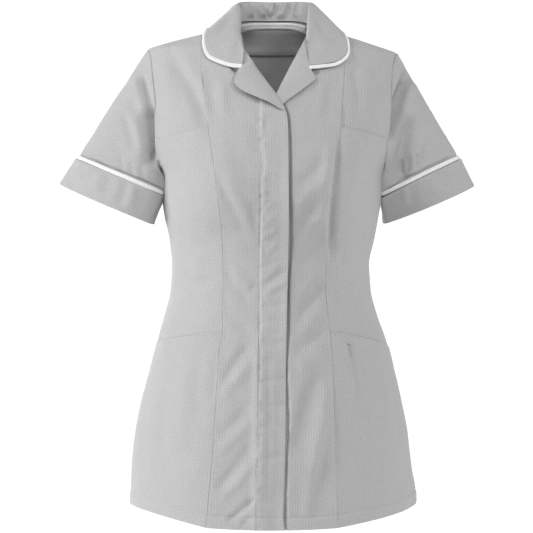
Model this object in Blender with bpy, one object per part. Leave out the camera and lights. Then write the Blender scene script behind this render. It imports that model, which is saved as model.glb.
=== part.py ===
"""Fitted tunic top with princess seams, a revere collar, short cuffed sleeves and a fly front.

Sizes are in millimetres until the solids are made. +X is the wearer's left, -Y the front, +Z up.
The origin is the middle of the neck base, level with the inner ends of the shoulder seams.
"""
import math

import bpy
import numpy as np

for old in list(bpy.data.objects):
    bpy.data.objects.remove(old, do_unlink=True)

# ---------------------------------------------------------------- driving sizes
MM = 0.001
WALL = 1.6  # two or three layers of cloth with their air, as one wall
SEAM_GAP = 0.4  # between two pieces that are sewn edge to edge
ARMHOLE_GAP = 0.8  # from the body's edge out to the sleeve, at the underarm
SHOULDER_GAP = 2.0  # and at the shoulder, where the sleeve turns down under that edge
LAY_GAP = 0.5  # between two pieces that lie on each other
SECTION_POWER = 2.4  # how square a horizontal section of the body is

PLACKET_STEP_FROM = -24.0  # X where the overlapping front starts to rise
PLACKET_STEP_TO = -17.0
PLACKET_RISE = 2.3
OVERLAP_TOP = -108.0  # above it the fronts part at the neckline
OVERLAP_FADE = 25.0
POCKET_HEM = 17.0  # depth of the turned hem at a pocket mouth
POCKET_STEP = 9.0  # below that hem the panel comes down to the body again
POCKET_UNDERLAP = 14.0
POCKET_RISE = 2.2

NECK_SIDE_HEIGHT = -4.0  # inner end of the shoulder seam
NECK_BACK_RISE = 14.0  # how much higher the seam lies at the nape
NECK_HALF_WIDTH = 62.0
NECK_BACK_FLATNESS = 4  # how level the seam runs across the nape
FACING_BOTTOM = -37.0

PIPING_WIDTH = 6.0
PIPING_THICK = 2.2
PIPING_CLEAR = 1.2  # from the cuff's edge to its piping
CUFF_RISE = 2.4
CUFF_THICK = 1.8
CUFF_HALF_DEPTH_TOP = 46.0  # front to back
CUFF_HALF_DEPTH_BOTTOM = 44.0
SLEEVE_INTO_CUFF = 0.22  # share of the cuff's depth that the sleeve's end is covered by

BUST_LIFT = 9.0
BUST_AT = (86.0, -246.0)
BUST_SPREAD = (46.0, 62.0)

# Horizontal sections of the body: half widths to each side, depth to the front and the back.
# Between shoulder and underarm they are wider than the armhole, which cuts them.
SECTIONS = (
    # height, right, left, front, back
    (24, 46, 52, 32, 55),
    (12, 48, 54, 36, 58),
    (4, 52, 57, 40, 61),
    (-4, 62, 64, 44, 64),
    (-10, 83, 84, 48, 68),
    (-16, 104, 103, 52, 72),
    (-25, 142, 131, 57, 77),
    (-33, 171, 155, 61, 80),
    (-38, 185, 170, 64, 83),
    (-46, 190, 189, 68, 86),
    (-60, 193, 194, 74, 90),
    (-110, 195, 198, 93, 101),
    (-170, 189, 191, 113, 108),
    (-205, 178, 179, 121, 108),
    (-232, 166, 167, 125, 106),
    (-250, 165, 165, 126, 103),
    (-288, 161, 159, 121, 96),
    (-324, 153, 152, 111, 89),
    (-360, 150, 145, 106, 86),
    (-396, 151, 147, 105, 88),
    (-432, 159, 156, 108, 95),
    (-468, 170, 169, 113, 105),
    (-504, 180, 180, 118, 115),
    (-558, 194, 193, 123, 125),
    (-612, 205, 203, 128, 131),
    (-666, 210, 209, 132, 134),
    (-702, 211, 213, 134, 135),
    (-745, 211, 213, 136, 136),
)
ARMHOLE = (
    # height, right, left: distance of the armhole seam from the middle
    (-38, 185, 189),
    (-48, 181, 184),
    (-75, 177, 178),
    (-118, 172, 175),
    (-150, 170, 171),
    (-190, 167.5, 168),
    (-222, 165.5, 166),
    (-232, 166, 167),
)
FRONT_PRINCESS = (
    # height, right, left: distance of the seam from the middle
    (-16, 104, 103),
    (-66, 103.5, 106),
    (-118, 98, 103),
    (-160, 93, 100),
    (-208, 86, 95.5),
    (-253, 79, 89),
    (-318, 73, 85),
    (-368, 71, 78),
    (-412, 71, 78),
    (-457, 71.5, 83.5),
    (-483, 76.5, 86),
    (-523, 79, 88),
    (-615, 84, 90.5),
    (-668, 88, 93.5),
    (-740, 94.5, 94.5),
)
BACK_PRINCESS = (
    # height, right, left
    (-16, 104, 103),
    (-60, 103, 103),
    (-110, 97, 98),
    (-170, 88, 89),
    (-240, 77, 78),
    (-300, 69, 70),
    (-360, 64, 65),
    (-420, 67, 68),
    (-500, 78, 79),
    (-600, 90, 91),
    (-740, 101, 102),
)
FRONT_EDGE = (
    # height, X of the edge of the front that lies on top, X of the one below it
    (-4, -62, 64),
    (-20, -54, 59),
    (-36, -47.5, 53),
    (-52, -38.5, 44),
    (-66, -29, 36),
    (-79, -20, 28),
    (-95, -8, 19),
    (-112, 5, 8.5),
    (-125, 13.5, 1),
    (-138, 19.5, -6),
    (-150, 22, -11),
    (-165, 23, -13.5),
    (-300, 25, -14.5),
    (-415, 23, -14.5),
    (-500, 22, -14.5),
    (-615, 21, -14.5),
    (-680, 18.5, -14.5),
    (-722, 16, -14.5),
    (-742, 17.5, -14.5),
)
# Lines across the body that the rows of the panels follow.
LEVELS = (
    # name, at the side right, at the side left, at the princess seams, at the middle, rows up to it
    ("hem", -717, -715.5, -739.5, -742, 0),
    ("hip pocket", -478, -487, -458, -458, 8),
    ("waist", -360, -360, -360, -360, 4),
    ("underarm", -232, -232, -228, -228, 5),
    ("chest pocket", -174.5, -174.5, -160.5, -160.5, 5),
    ("chest", -126, -126, -112, -112, 2),
    ("shoulder", 0, 0, 0, 0, 7),
)
# The hem rises to the side seams late: one where it rises evenly from the princess seam.
HEM_LATENESS = {-1: 2.2, 1: 1.5}
HIP_ROW = 8
UNDERARM_ROW = 17
CHEST_ROW = 22
UPPER_ROW = 24
TOP_ROW = 31

# Collar, half way round from its front end to the middle of the back.
COLLAR = (
    # roll line X right, X left, depth right, depth left, height right, height left,
    # outer edge X right, X left, height right, height left, share of the neck seam
    (-41, 50.5, -70, -62, -47, -29, -44, 54.5, -75.5, -77, 0.0),
    (-43.5, 51.5, -62, -51, -34, -13, -60, 73, -73.5, -75, 0.11),
    (-45.5, 53, -50, -37, -19, 2, -79, 98, -67, -69, 0.2),
    (-46, 54, -34, -20, -4, 15, -95.5, 112, -57, -56, 0.29),
    (-46.5, 55, -15, -3, 11, 24, -103, 113.5, -40, -39, 0.37),
    (-48, 57.5, 3, 12, 24, 30, -102, 108, -22, -22, 0.45),
    (-51, 60.5, 20, 25, 32.5, 34.5, -96, 101, -14, -15, 0.56),
    (-47, 54, 38, 40, 38, 38, -88, 92, -17, -17, 0.67),
    (-33, 40, 52, 52, 40.5, 40.5, -64, 70, -18, -18, 0.78),
    (-15, 22, 58, 58, 41, 41, -34, 40, -16, -16, 0.89),
)
COLLAR_MIDDLE = (4, 60, 41, 4, -15)  # roll X, depth, height, outer edge X, height
NECK_SEAM_START = (-46, -30)  # heights where the collar's ends meet the neckline, right and left

LAPELS = {
    # roll line X, height, outer edge X, height
    "right": (
        (-39, -48, -40, -55),
        (-34.5, -54.5, -42.5, -72),
        (-26.5, -67, -47.5, -83),
        (-18.5, -79, -52.5, -93),
        (-10.5, -90, -47, -102),
        (-2.5, -101, -26.5, -114),
        (6, -112.5, -3, -127),
        (13.5, -125, 12, -135.5),
        (18, -133.5, 17, -138),
    ),
    "left": (
        (48, -30, 49, -34),
        (42.5, -41, 49, -46),
        (35.5, -54, 50.5, -62),
        (31, -62.5, 51.5, -72.5),
        (27, -70, 57.5, -83),
        (23, -78, 63, -91),
        (18, -88, 52.5, -101),
        (13, -98.5, 36.5, -113.5),
        (10.5, -104.5, 24, -121.5),
    ),
}

# Cuffs: X and height of the ends of the top and bottom openings, seen from the front, and how
# far the opening's edge sags between them.
CUFFS = {
    "right": dict(
        top_out=(-292.5, -203), top_in=(-172, -253.5), low_out=(-317, -240.5), low_in=(-180.5, -299.5), sag=2.5
    ),
    "left": dict(
        top_out=(280, -204), top_in=(172, -253.5), low_out=(301, -243.5), low_in=(172.5, -297), sag=4.0
    ),
}

SIDES = (("right", -1), ("left", 1))


# ---------------------------------------------------------------- curves through the tables
class Curve:
    """A smooth curve through the rows of one column, without overshoot."""

    def __init__(self, rows, column):
        order = sorted(rows, key=lambda row: row[0])
        self.x = np.array([row[0] for row in order], float)
        self.y = np.array([row[column] for row in order], float)
        step = np.diff(self.x)
        slope = np.diff(self.y) / step
        self.m = np.zeros(len(self.x))
        for i in range(1, len(self.x) - 1):
            if slope[i - 1] * slope[i] > 0:
                before = 2 * step[i] + step[i - 1]
                after = step[i] + 2 * step[i - 1]
                self.m[i] = (before + after) / (before / slope[i - 1] + after / slope[i])
        self.m[0] = slope[0]
        self.m[-1] = slope[-1]

    def __call__(self, at):
        at = min(max(at, self.x[0]), self.x[-1])
        i = min(int(np.searchsorted(self.x, at, side="right")) - 1, len(self.x) - 2)
        step = self.x[i + 1] - self.x[i]
        t = (at - self.x[i]) / step
        return float(
            self.y[i] * (1 + 2 * t) * (1 - t) ** 2
            + self.m[i] * step * t * (1 - t) ** 2
            + self.y[i + 1] * t * t * (3 - 2 * t)
            - self.m[i + 1] * step * t * t * (1 - t)
        )


half_width = {-1: Curve(SECTIONS, 1), 1: Curve(SECTIONS, 2)}
depth = {"front": Curve(SECTIONS, 3), "back": Curve(SECTIONS, 4)}
armhole = {-1: Curve(ARMHOLE, 1), 1: Curve(ARMHOLE, 2)}
princess = {
    "front": {-1: Curve(FRONT_PRINCESS, 1), 1: Curve(FRONT_PRINCESS, 2)},
    "back": {-1: Curve(BACK_PRINCESS, 1), 1: Curve(BACK_PRINCESS, 2)},
}
front_edge = {-1: Curve(FRONT_EDGE, 1), 1: Curve(FRONT_EDGE, 2)}


def mix(a, b, t):
    return a + (b - a) * t


def ease(t):
    t = min(max(t, 0.0), 1.0)
    return t * t * (3 - 2 * t)


def unit(v):
    return v / max(np.linalg.norm(v), 1e-9)


# ---------------------------------------------------------------- the body's surface
def ridge(x):
    """Height of the shoulder line above a point of the X axis."""
    side = -1 if x < 0 else 1
    if abs(x) <= half_width[side](NECK_SIDE_HEIGHT):
        return NECK_SIDE_HEIGHT
    high, low = NECK_SIDE_HEIGHT, -50.0
    for _ in range(40):
        middle = (high + low) / 2
        if half_width[side](middle) < abs(x):
            high = middle
        else:
            low = middle
    return (high + low) / 2


def bust(x, z):
    across = (abs(x) - BUST_AT[0]) / BUST_SPREAD[0]
    along = (z - BUST_AT[1]) / BUST_SPREAD[1]
    return BUST_LIFT * math.exp(-across * across - along * along)


def on_body(x, z, face):
    """The body's surface above a point of the XZ plane, at its front or its back."""
    side = -1 if x < 0 else 1
    share = min(abs(x) / half_width[side](z), 1.0)
    away = math.sqrt(max(1 - share**SECTION_POWER, 0.0))
    y = depth[face](z) * away
    if face == "front":
        return np.array((x, -y - bust(x, z) * min(1.0, 2.2 * away), z))
    return np.array((x, y, z))


def level_of(p):
    """Negative inside the body, zero on it, positive outside."""
    side = -1 if p[0] < 0 else 1
    face = "front" if p[1] < 0 else "back"
    return (abs(p[0]) / half_width[side](p[2])) ** SECTION_POWER + (p[1] / depth[face](p[2])) ** 2 - 1


def outward(p):
    """Direction away from the body at a point on or near it, and how fast the level rises."""
    reach = 0.5
    slope = np.zeros(3)
    for k in range(3):
        move = np.zeros(3)
        move[k] = reach
        slope[k] = (level_of(p + move) - level_of(p - move)) / (2 * reach)
    size = np.linalg.norm(slope)
    return slope / size, size


def clear_of_body(p, distance):
    """The point, moved out where it lies closer to the body than the distance."""
    for _ in range(3):
        way, rate = outward(p)
        away = level_of(p) / rate
        if away < distance:
            p = p + way * (distance - away)
    return p


# ---------------------------------------------------------------- rows across the body
def row_plan():
    """For each row: the heights at the sides, princess seams and middle, and its rise to the shoulder."""
    plan = []
    for index, level in enumerate(LEVELS):
        name, side_r, side_l, seam, middle, count = level
        if index == 0:
            plan.append((side_r, side_l, seam, middle, 0.0))
            continue
        _, from_r, from_l, from_seam, from_middle, _ = LEVELS[index - 1]
        for k in range(1, count + 1):
            t = k / count
            if name == "shoulder":
                plan.append((from_r, from_l, from_seam, from_middle, 1 - (1 - t) ** 2))
                continue
            at_side = t * t if name == "chest pocket" else t
            plan.append(
                (
                    mix(from_r, side_r, at_side),
                    mix(from_l, side_l, at_side),
                    mix(from_seam, seam, t),
                    mix(from_middle, middle, t),
                    0.0,
                )
            )
    return plan


ROWS = row_plan()


def neck_back(x):
    """Height of the back neck seam above a point of the X axis."""
    return NECK_SIDE_HEIGHT + NECK_BACK_RISE * max(0.0, 1 - abs(x / NECK_HALF_WIDTH) ** NECK_BACK_FLATNESS)


def top_height(x, face):
    side = -1 if x < 0 else 1
    if face == "back" and abs(x) < half_width[side](NECK_SIDE_HEIGHT):
        return neck_back(x)
    return ridge(x)


def solve(edge, low, rise, face, first):
    """Where a rising row meets a seam that is given as X by height."""
    x = first
    z = low
    for _ in range(30):
        z = mix(low, top_height(x, face), rise)
        x = mix(x, edge(z), 0.6)
    return x, z


def seam_point(row, side, face):
    _, _, z, _, rise = ROWS[row]
    line = princess[face][side]
    x = side * line(z)
    if rise > 0:
        x, z = solve(lambda h: side * line(h), z, rise, face, x)
    return x, z


def side_point(row, side):
    z = ROWS[row][0 if side < 0 else 1]
    rise = ROWS[row][4]
    if row <= UNDERARM_ROW:
        return side * half_width[side](z), z
    x = side * armhole[side](z)
    if rise > 0:
        x, z = solve(lambda h: side * armhole[side](h), z, rise, "front", x)
    return x, z


def side_row(row, side, face, columns):
    """Points from the side seam or armhole to the princess seam."""
    x_out, z_out = side_point(row, side)
    x_in, z_in = seam_point(row, side, face)
    rise = ROWS[row][4]
    low = UPPER_ROW if rise > 0 else row
    z_low_out = ROWS[low][0 if side < 0 else 1]
    z_low_in = ROWS[low][2]
    lateness = mix(HEM_LATENESS[side], 1.0, min(row / HIP_ROW, 1.0))
    round_it = 1 - ease((row - UNDERARM_ROW) / (CHEST_ROW - UNDERARM_ROW))
    out_turn = math.acos(min(1.0, (abs(x_out) / half_width[side](z_out)) ** (SECTION_POWER / 2)))
    in_turn = math.acos(min(1.0, (abs(x_in) / half_width[side](z_in)) ** (SECTION_POWER / 2)))
    points = []
    for k in range(columns + 1):
        u = k / columns
        z = mix(z_out, z_in, u**lateness)
        turned = side * half_width[side](z) * math.cos(mix(out_turn, in_turn, u)) ** (2 / SECTION_POWER)
        x = mix(mix(x_out, x_in, u), turned, round_it)
        if rise > 0:
            z = mix(mix(z_low_out, z_low_in, u), top_height(x, face), rise)
        if k == 0:
            x, z = x_out, z_out
        if k == columns:
            x, z = x_in, z_in
        p = on_body(x, z, face)
        if (k == 0 and row <= UNDERARM_ROW) or rise == 1:
            p[1] = 0.0
        points.append(p)
    return points


def middle_row(row, x_from, x_to, face, columns, marks=()):
    """Points between two X positions across the middle, with columns at the marks too."""
    _, _, z_seam, z_middle, rise = ROWS[row]
    low_seam, low_middle = ROWS[UPPER_ROW][2:4] if rise > 0 else (z_seam, z_middle)
    shares = sorted(set(k / columns for k in range(columns + 1)) | set(marks))
    points = []
    for u in shares:
        x = mix(x_from, x_to, u)
        near = 1 - min(abs(x) / 90.0, 1.0) ** 2
        z = mix(low_seam, low_middle, near)
        if u in (0.0, 1.0) and abs(x) > 60 and rise == 0:
            z = z_seam
        if rise > 0:
            z = mix(z, top_height(x, face), rise)
        p = on_body(x, z, face)
        if rise == 1 and abs(x) >= half_width[-1 if x < 0 else 1](NECK_SIDE_HEIGHT) - 0.01:
            p[1] = 0.0
        points.append(p)
    return points


def front_row(row, side, columns):
    """From the princess seam to the front's own edge, which crosses the middle."""
    x_in, z_in = seam_point(row, side, "front")
    edge = front_edge[side]
    _, _, _, z_middle, rise = ROWS[row]
    if rise > 0:
        x_to, _ = solve(edge, ROWS[UPPER_ROW][3], rise, "front", edge(z_middle))
    else:
        x_to = edge(z_middle)
    points = middle_row(row, x_in, x_to, "front", columns)
    first = on_body(x_in, z_in, "front")
    if rise == 1:
        first[1] = 0.0
    points[0] = first
    return points


SIDE_COLUMNS = 6
FRONT_COLUMNS = 6
BACK_COLUMNS = 8

grids = {}
for side_name, side in SIDES:
    for face in ("front", "back"):
        rows = [side_row(row, side, face, SIDE_COLUMNS) for row in range(TOP_ROW + 1)]
        grids["side_" + face, side] = np.array(rows)
    grids["front", side] = np.array([front_row(row, side, FRONT_COLUMNS) for row in range(TOP_ROW + 1)])
back_rows = []
for row in range(TOP_ROW + 1):
    x_from, _ = seam_point(row, -1, "back")
    x_to, _ = seam_point(row, 1, "back")
    points = middle_row(row, x_from, x_to, "back", BACK_COLUMNS)
    points[0] = grids["side_back", -1][row, -1]
    points[-1] = grids["side_back", 1][row, -1]
    back_rows.append(points)
grids["back", 0] = np.array(back_rows)


# ---------------------------------------------------------------- sleeves and cuffs
def armhole_loop(side):
    """The armhole seam, from the underarm up the front to the shoulder and down the back."""
    front = grids["side_front", side][UNDERARM_ROW:, 0]
    back = grids["side_back", side][UNDERARM_ROW:, 0]
    return np.concatenate([front, back[-2:0:-1]])


def turns_of(loop, top):
    """How far round each point of the loop is: 0 at the underarm, half a turn at the shoulder."""
    closed = np.concatenate([loop, loop[:1]])
    run = np.concatenate([[0], np.cumsum(np.linalg.norm(np.diff(closed, axis=0), axis=1))])
    front = run[: top + 1] / run[top] * 0.5
    back = 0.5 + (run[top + 1 : -1] - run[top]) / (run[-1] - run[top]) * 0.5
    return np.concatenate([front, back]) * 2 * math.pi


def cuff_loop(side_name, turns, share):
    """A level ring round the cuff: share 0 is its top, 1 its opening."""
    cuff = CUFFS[side_name]
    outer = mix(np.array(cuff["top_out"], float), np.array(cuff["low_out"], float), share)
    inner = mix(np.array(cuff["top_in"], float), np.array(cuff["low_in"], float), share)
    half_depth = mix(CUFF_HALF_DEPTH_TOP, CUFF_HALF_DEPTH_BOTTOM, share)
    centre = (outer + inner) / 2
    arm = (inner - outer) / 2
    points = []
    for turn in turns:
        flat = centre + arm * math.cos(turn)
        sag = cuff["sag"] * share * abs(math.sin(turn))
        points.append((flat[0], -half_depth * math.sin(turn), flat[1] - sag))
    return np.array(points)


SLEEVE_ROWS = (0.0, 0.07, 0.2, 0.36, 0.53, 0.7, 0.86, 1.0)
SLEEVE_DIP = 5.0  # the sleeve head lies a little behind the armhole seam
for side_name, side in SIDES:
    loop = armhole_loop(side)
    turns = turns_of(loop, TOP_ROW - UNDERARM_ROW)
    loop[:, 0] += side * mix(ARMHOLE_GAP, SHOULDER_GAP, (1 - np.cos(turns)) / 2)
    cuff_top = cuff_loop(side_name, turns, 0.0)
    rows = []
    for share in SLEEVE_ROWS:
        ring = mix(loop, cuff_top, share)
        run = np.linalg.norm(cuff_top - loop, axis=1)
        dip = SLEEVE_DIP * math.sin(math.pi * min(share / 0.4, 1.0)) * np.sin(turns)
        dip *= (run / run.max()) ** 2
        ring[:, 1] += dip
        rows.append(ring)
    rows.append(cuff_loop(side_name, turns, SLEEVE_INTO_CUFF))
    grids["sleeve", side] = np.array(rows)
    grids["cuff", side] = np.array([cuff_loop(side_name, turns, t) for t in (0.0, 0.12, 0.5, 1.0)])
    up = (loop - cuff_top) / np.linalg.norm(loop - cuff_top, axis=1)[:, None]
    steps = (PIPING_CLEAR + PIPING_WIDTH, PIPING_CLEAR + PIPING_WIDTH / 2, PIPING_CLEAR)
    grids["cuff_piping", side] = np.array([cuff_top + up * step for step in steps])


# ---------------------------------------------------------------- directions out of the cloth
def face_normals(grid, closed):
    """Sum of the faces' normals at each point of a grid; grids run so that they point outward."""
    rows, columns = grid.shape[:2]
    total = np.zeros(grid.shape)
    last = columns if closed else columns - 1
    for i in range(rows - 1):
        for j in range(last):
            k = (j + 1) % columns
            across = grid[i + 1, k] - grid[i, j]
            along = grid[i + 1, j] - grid[i, k]
            normal = np.cross(across, along)
            for a, b in ((i, j), (i, k), (i + 1, k), (i + 1, j)):
                total[a, b] += normal
    return total


def key_of(p):
    return tuple(int(round(v * 20)) for v in p)


def is_closed(kind):
    return kind in ("sleeve", "cuff", "cuff_piping")


def faces_outward(grid, closed):
    """Whether the grid's own order gives normals that point away from the body or the ring's middle."""
    i, j = grid.shape[0] // 2, grid.shape[1] // 3
    normal = face_normals(grid, closed)[i, j]
    if closed:
        away = grid[i, j] - grid[i].mean(axis=0)
    else:
        away = outward(grid[i, j])[0]
    return float(normal @ away) > 0


def turned_out(kind, side):
    return faces_outward(grids[kind, side], is_closed(kind))


normals = {}
shared = {}
for (kind, side), grid in grids.items():
    sign = 1.0 if turned_out(kind, side) else -1.0
    own = face_normals(grid, is_closed(kind)) * sign
    normals[kind, side] = own
    if is_closed(kind):
        continue
    for i in range(grid.shape[0]):
        for j in range(grid.shape[1]):
            key = key_of(grid[i, j])
            shared[key] = shared.get(key, np.zeros(3)) + own[i, j]

offsets = {}
for (kind, side), grid in grids.items():
    own = normals[kind, side]
    out = np.zeros(grid.shape)
    for i in range(grid.shape[0]):
        for j in range(grid.shape[1]):
            mine = unit(own[i, j])
            both = unit(shared.get(key_of(grid[i, j]), mine))
            stretch = min(1 / max(float(both @ mine), 0.1), 1.8)
            out[i, j] = both * stretch
    offsets[kind, side] = out


# ---------------------------------------------------------------- solids
def material(name, colour, roughness):
    made = bpy.data.materials.get(name)
    if made:
        return made
    made = bpy.data.materials.new(name)
    made.use_nodes = True
    shader = made.node_tree.nodes["Principled BSDF"]
    shader.inputs["Base Color"].default_value = (*colour, 1.0)
    shader.inputs["Roughness"].default_value = roughness
    shader.inputs["Metallic"].default_value = 0.0
    return made


CLOTH = (0.47, 0.47, 0.47)
INSIDE = (0.36, 0.36, 0.36)
WHITE = (0.9, 0.9, 0.9)


def trimmed(grid, closed, gap):
    """The grid with its open edges drawn in by half the seam gap."""
    out = grid.copy()
    half = gap / 2
    out[0] += np.array([unit(v) for v in grid[1] - grid[0]]) * half
    out[-1] += np.array([unit(v) for v in grid[-2] - grid[-1]]) * half
    if not closed:
        out[:, 0] += np.array([unit(v) for v in grid[:, 1] - grid[:, 0]]) * half
        out[:, -1] += np.array([unit(v) for v in grid[:, -2] - grid[:, -1]]) * half
    return out


def wall(name, grid, out, outer, inner, closed=False, outward_order=True, colour=CLOTH, gap=SEAM_GAP):
    """One closed solid between two layers of a grid, at distances outer and inner along out."""
    rows, columns = grid.shape[:2]
    middle = trimmed(grid, closed, gap)
    outer = np.broadcast_to(np.asarray(outer, float), (rows, columns))[..., None]
    inner = np.broadcast_to(np.asarray(inner, float), (rows, columns))[..., None]
    top = (middle + out * outer).reshape(-1, 3)
    bottom = (middle + out * inner).reshape(-1, 3)
    points = np.concatenate([top, bottom]) * MM
    count = rows * columns
    faces = []

    def at(i, j):
        return i * columns + j % columns

    last = columns if closed else columns - 1
    for i in range(rows - 1):
        for j in range(last):
            a, b, c, d = at(i, j), at(i, j + 1), at(i + 1, j + 1), at(i + 1, j)
            faces += [(a, b, c), (a, c, d)]
            faces += [(count + c, count + b, count + a), (count + d, count + c, count + a)]
    for i, ahead in ((0, False), (rows - 1, True)):
        for j in range(last):
            a, b = at(i, j), at(i, j + 1)
            rim = (a, b, count + b, count + a) if ahead else (b, a, count + a, count + b)
            faces += [(rim[0], rim[1], rim[2]), (rim[0], rim[2], rim[3])]
    if not closed:
        for j, ahead in ((0, True), (columns - 1, False)):
            for i in range(rows - 1):
                a, b = at(i, j), at(i + 1, j)
                rim = (a, b, count + b, count + a) if ahead else (b, a, count + a, count + b)
                faces += [(rim[0], rim[1], rim[2]), (rim[0], rim[2], rim[3])]
    if not outward_order:
        faces = [face[::-1] for face in faces]
    mesh = bpy.data.meshes.new(name)
    mesh.from_pydata([tuple(p) for p in points], [], faces)
    mesh.validate()
    mesh.update()
    mesh.shade_smooth()
    mesh.set_sharp_from_angle(angle=math.radians(40))
    made = bpy.data.objects.new(name, mesh)
    tone = {CLOTH: "tunic_cloth", INSIDE: "tunic_cloth_inside", WHITE: "white_trim"}[colour]
    mesh.materials.append(material(tone, colour, 0.85))
    bpy.context.scene.collection.objects.link(made)
    return made


def panel(name, kind, side, first=0, last=None, rise=0.0, **more):
    """A piece of a grid, from one row to another, lifted off the body where rise says."""
    last = grids[kind, side].shape[0] - 1 if last is None else last
    part = slice(first, last + 1)
    return wall(
        name,
        grids[kind, side][part],
        offsets[kind, side][part],
        rise,
        np.asarray(rise) - WALL,
        closed=is_closed(kind),
        outward_order=turned_out(kind, side),
        **more,
    )


# Side fronts: three panels a side. Each lower one lies over the one above it at a pocket mouth.
def shifted_row(kind, side, row, down):
    """A row moved down the body, along the grid's own lines."""
    grid = grids[kind, side]
    out = offsets[kind, side]
    moved = []
    ways = []
    for j in range(grid.shape[1]):
        left = down
        i = row
        while left > np.linalg.norm(grid[i, j] - grid[i - 1, j]):
            left -= np.linalg.norm(grid[i, j] - grid[i - 1, j])
            i -= 1
        t = left / np.linalg.norm(grid[i, j] - grid[i - 1, j])
        moved.append(mix(grid[i, j], grid[i - 1, j], t))
        ways.append(mix(out[i, j], out[i - 1, j], t))
    return np.array(moved), np.array(ways)


def side_front_piece(name, side, first, last, under_first, over_last):
    """A side front between two rows; it starts under the piece below and ends over the one above."""
    kind = "side_front"
    rows = []
    if under_first:
        rows.append((*shifted_row(kind, side, first, POCKET_UNDERLAP), 0.0))
    stop = last - 1 if over_last else last
    start = first
    for row in range(start, stop + 1):
        rows.append((grids[kind, side][row], offsets[kind, side][row], 0.0))
    if over_last:
        near = np.linalg.norm(grids[kind, side][last] - grids[kind, side][stop], axis=1).min()
        if near < POCKET_HEM + POCKET_STEP + 3:
            rows.pop()
        rows.append((*shifted_row(kind, side, last, POCKET_HEM + POCKET_STEP), 0.0))
        rows.append((*shifted_row(kind, side, last, POCKET_HEM), POCKET_RISE))
        rows.append((grids[kind, side][last], offsets[kind, side][last], POCKET_RISE))
    grid = np.array([row[0] for row in rows])
    out = np.array([row[1] for row in rows])
    rise = np.array([row[2] for row in rows])[:, None]
    wall(name, grid, out, rise, rise - WALL, outward_order=turned_out(kind, side))


for side_name, side in SIDES:
    side_front_piece(f"side_front_lower_{side_name}", side, 0, HIP_ROW, False, True)
    side_front_piece(f"side_front_middle_{side_name}", side, HIP_ROW, CHEST_ROW, True, True)
    side_front_piece(f"side_front_upper_{side_name}", side, CHEST_ROW, TOP_ROW, True, False)
    panel(f"side_back_{side_name}", "side_back", side)
panel("back_centre", "back", 0)

# Centre fronts: the wearer's right one lies on top and hides the closure.
under = grids["front", 1]
wall("front_centre_left", under, offsets["front", 1], 0.0, -WALL, outward_order=turned_out("front", 1))


def placket_grid():
    """The right front, with columns added where it steps up onto the left one."""
    grid = grids["front", -1]
    out = offsets["front", -1]
    rows = []
    ways = []
    rises = []
    for i in range(grid.shape[0]):
        line = grid[i]
        edge_x = line[-1, 0]
        step_from = min(PLACKET_STEP_FROM, edge_x - 14.0)
        step_to = step_from + PLACKET_STEP_TO - PLACKET_STEP_FROM
        first_x = line[0, 0]
        wanted = [mix(first_x, step_from, k / 4) for k in range(5)]
        wanted += [step_to, mix(step_to, edge_x, 0.5), edge_x]
        points = []
        turned = []
        for x in wanted:
            j = int(np.searchsorted(line[:, 0], x, side="right")) - 1
            j = min(max(j, 0), line.shape[0] - 2)
            t = (x - line[j, 0]) / (line[j + 1, 0] - line[j, 0])
            points.append(mix(line[j], line[j + 1], t))
            turned.append(mix(out[i, j], out[i, j + 1], t))
        lifted = PLACKET_RISE * (1 - ease((line[-1, 2] - OVERLAP_TOP) / OVERLAP_FADE))
        rows.append(points)
        ways.append(turned)
        rises.append([0.0] * 5 + [lifted] * 3)
    return np.array(rows), np.array(ways), np.array(rises)


over, over_out, over_rise = placket_grid()
wall(
    "front_centre_right",
    over,
    over_out,
    over_rise,
    over_rise - WALL,
    outward_order=turned_out("front", -1),
)

for side_name, side in SIDES:
    panel(f"sleeve_{side_name}", "sleeve", side, gap=0.0)
    cuff = grids["cuff", side]
    wall(
        f"cuff_{side_name}",
        cuff,
        offsets["cuff", side],
        CUFF_RISE,
        CUFF_RISE - CUFF_THICK,
        closed=True,
        outward_order=turned_out("cuff", side),
    )
    piping = grids["cuff_piping", side]
    rounded = np.array((PIPING_THICK * 0.7, PIPING_THICK, PIPING_THICK))[:, None] + LAY_GAP
    wall(
        f"cuff_piping_{side_name}",
        piping,
        offsets["cuff_piping", side],
        rounded,
        LAY_GAP,
        closed=True,
        outward_order=turned_out("cuff_piping", side),
        colour=WHITE,
    )


# ---------------------------------------------------------------- collar
def neck_seam(side, share):
    """A point of the neck seam, from the collar's front end (0) to the middle of the back (1)."""
    split = 0.45
    if share <= split:
        start = NECK_SEAM_START[0 if side < 0 else 1]
        z = mix(start, NECK_SIDE_HEIGHT, share / split)
        p = on_body(front_edge[side](z), z, "front")
        p[1] *= ease(min(1.0, (split - share) / 0.12)) ** 0.5
        return p
    x = side * NECK_HALF_WIDTH * math.cos((share - split) / (1 - split) * math.pi / 2)
    return on_body(x, neck_back(x), "back")


def collar_stations():
    rows = []
    for side, column in ((-1, 0), (1, 1)):
        part = []
        for row in COLLAR:
            roll = np.array((row[0 + column], row[2 + column], row[4 + column]), float)
            edge_x, edge_z = row[6 + column], row[8 + column]
            face = "front" if row[10] < 0.5 else "back"
            part.append((neck_seam(side, row[10]), roll, on_body(edge_x, edge_z, face)))
        rows.append(part)
    x, y, z, edge_x, edge_z = COLLAR_MIDDLE
    middle = (
        on_body(0.0, neck_back(0.0), "back"),
        np.array((x, y, z), float),
        on_body(edge_x, edge_z, "back"),
    )
    return rows[0] + [middle] + rows[1][::-1]


COLLAR_THICK = 1.6
COLLAR_FOLD = 1.7
COLLAR_SEAM = 1.3  # from the neck edge to the middle of the collar's lower edge
COLLAR_ABOVE = 3.6  # middle of the fall above the body


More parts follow.
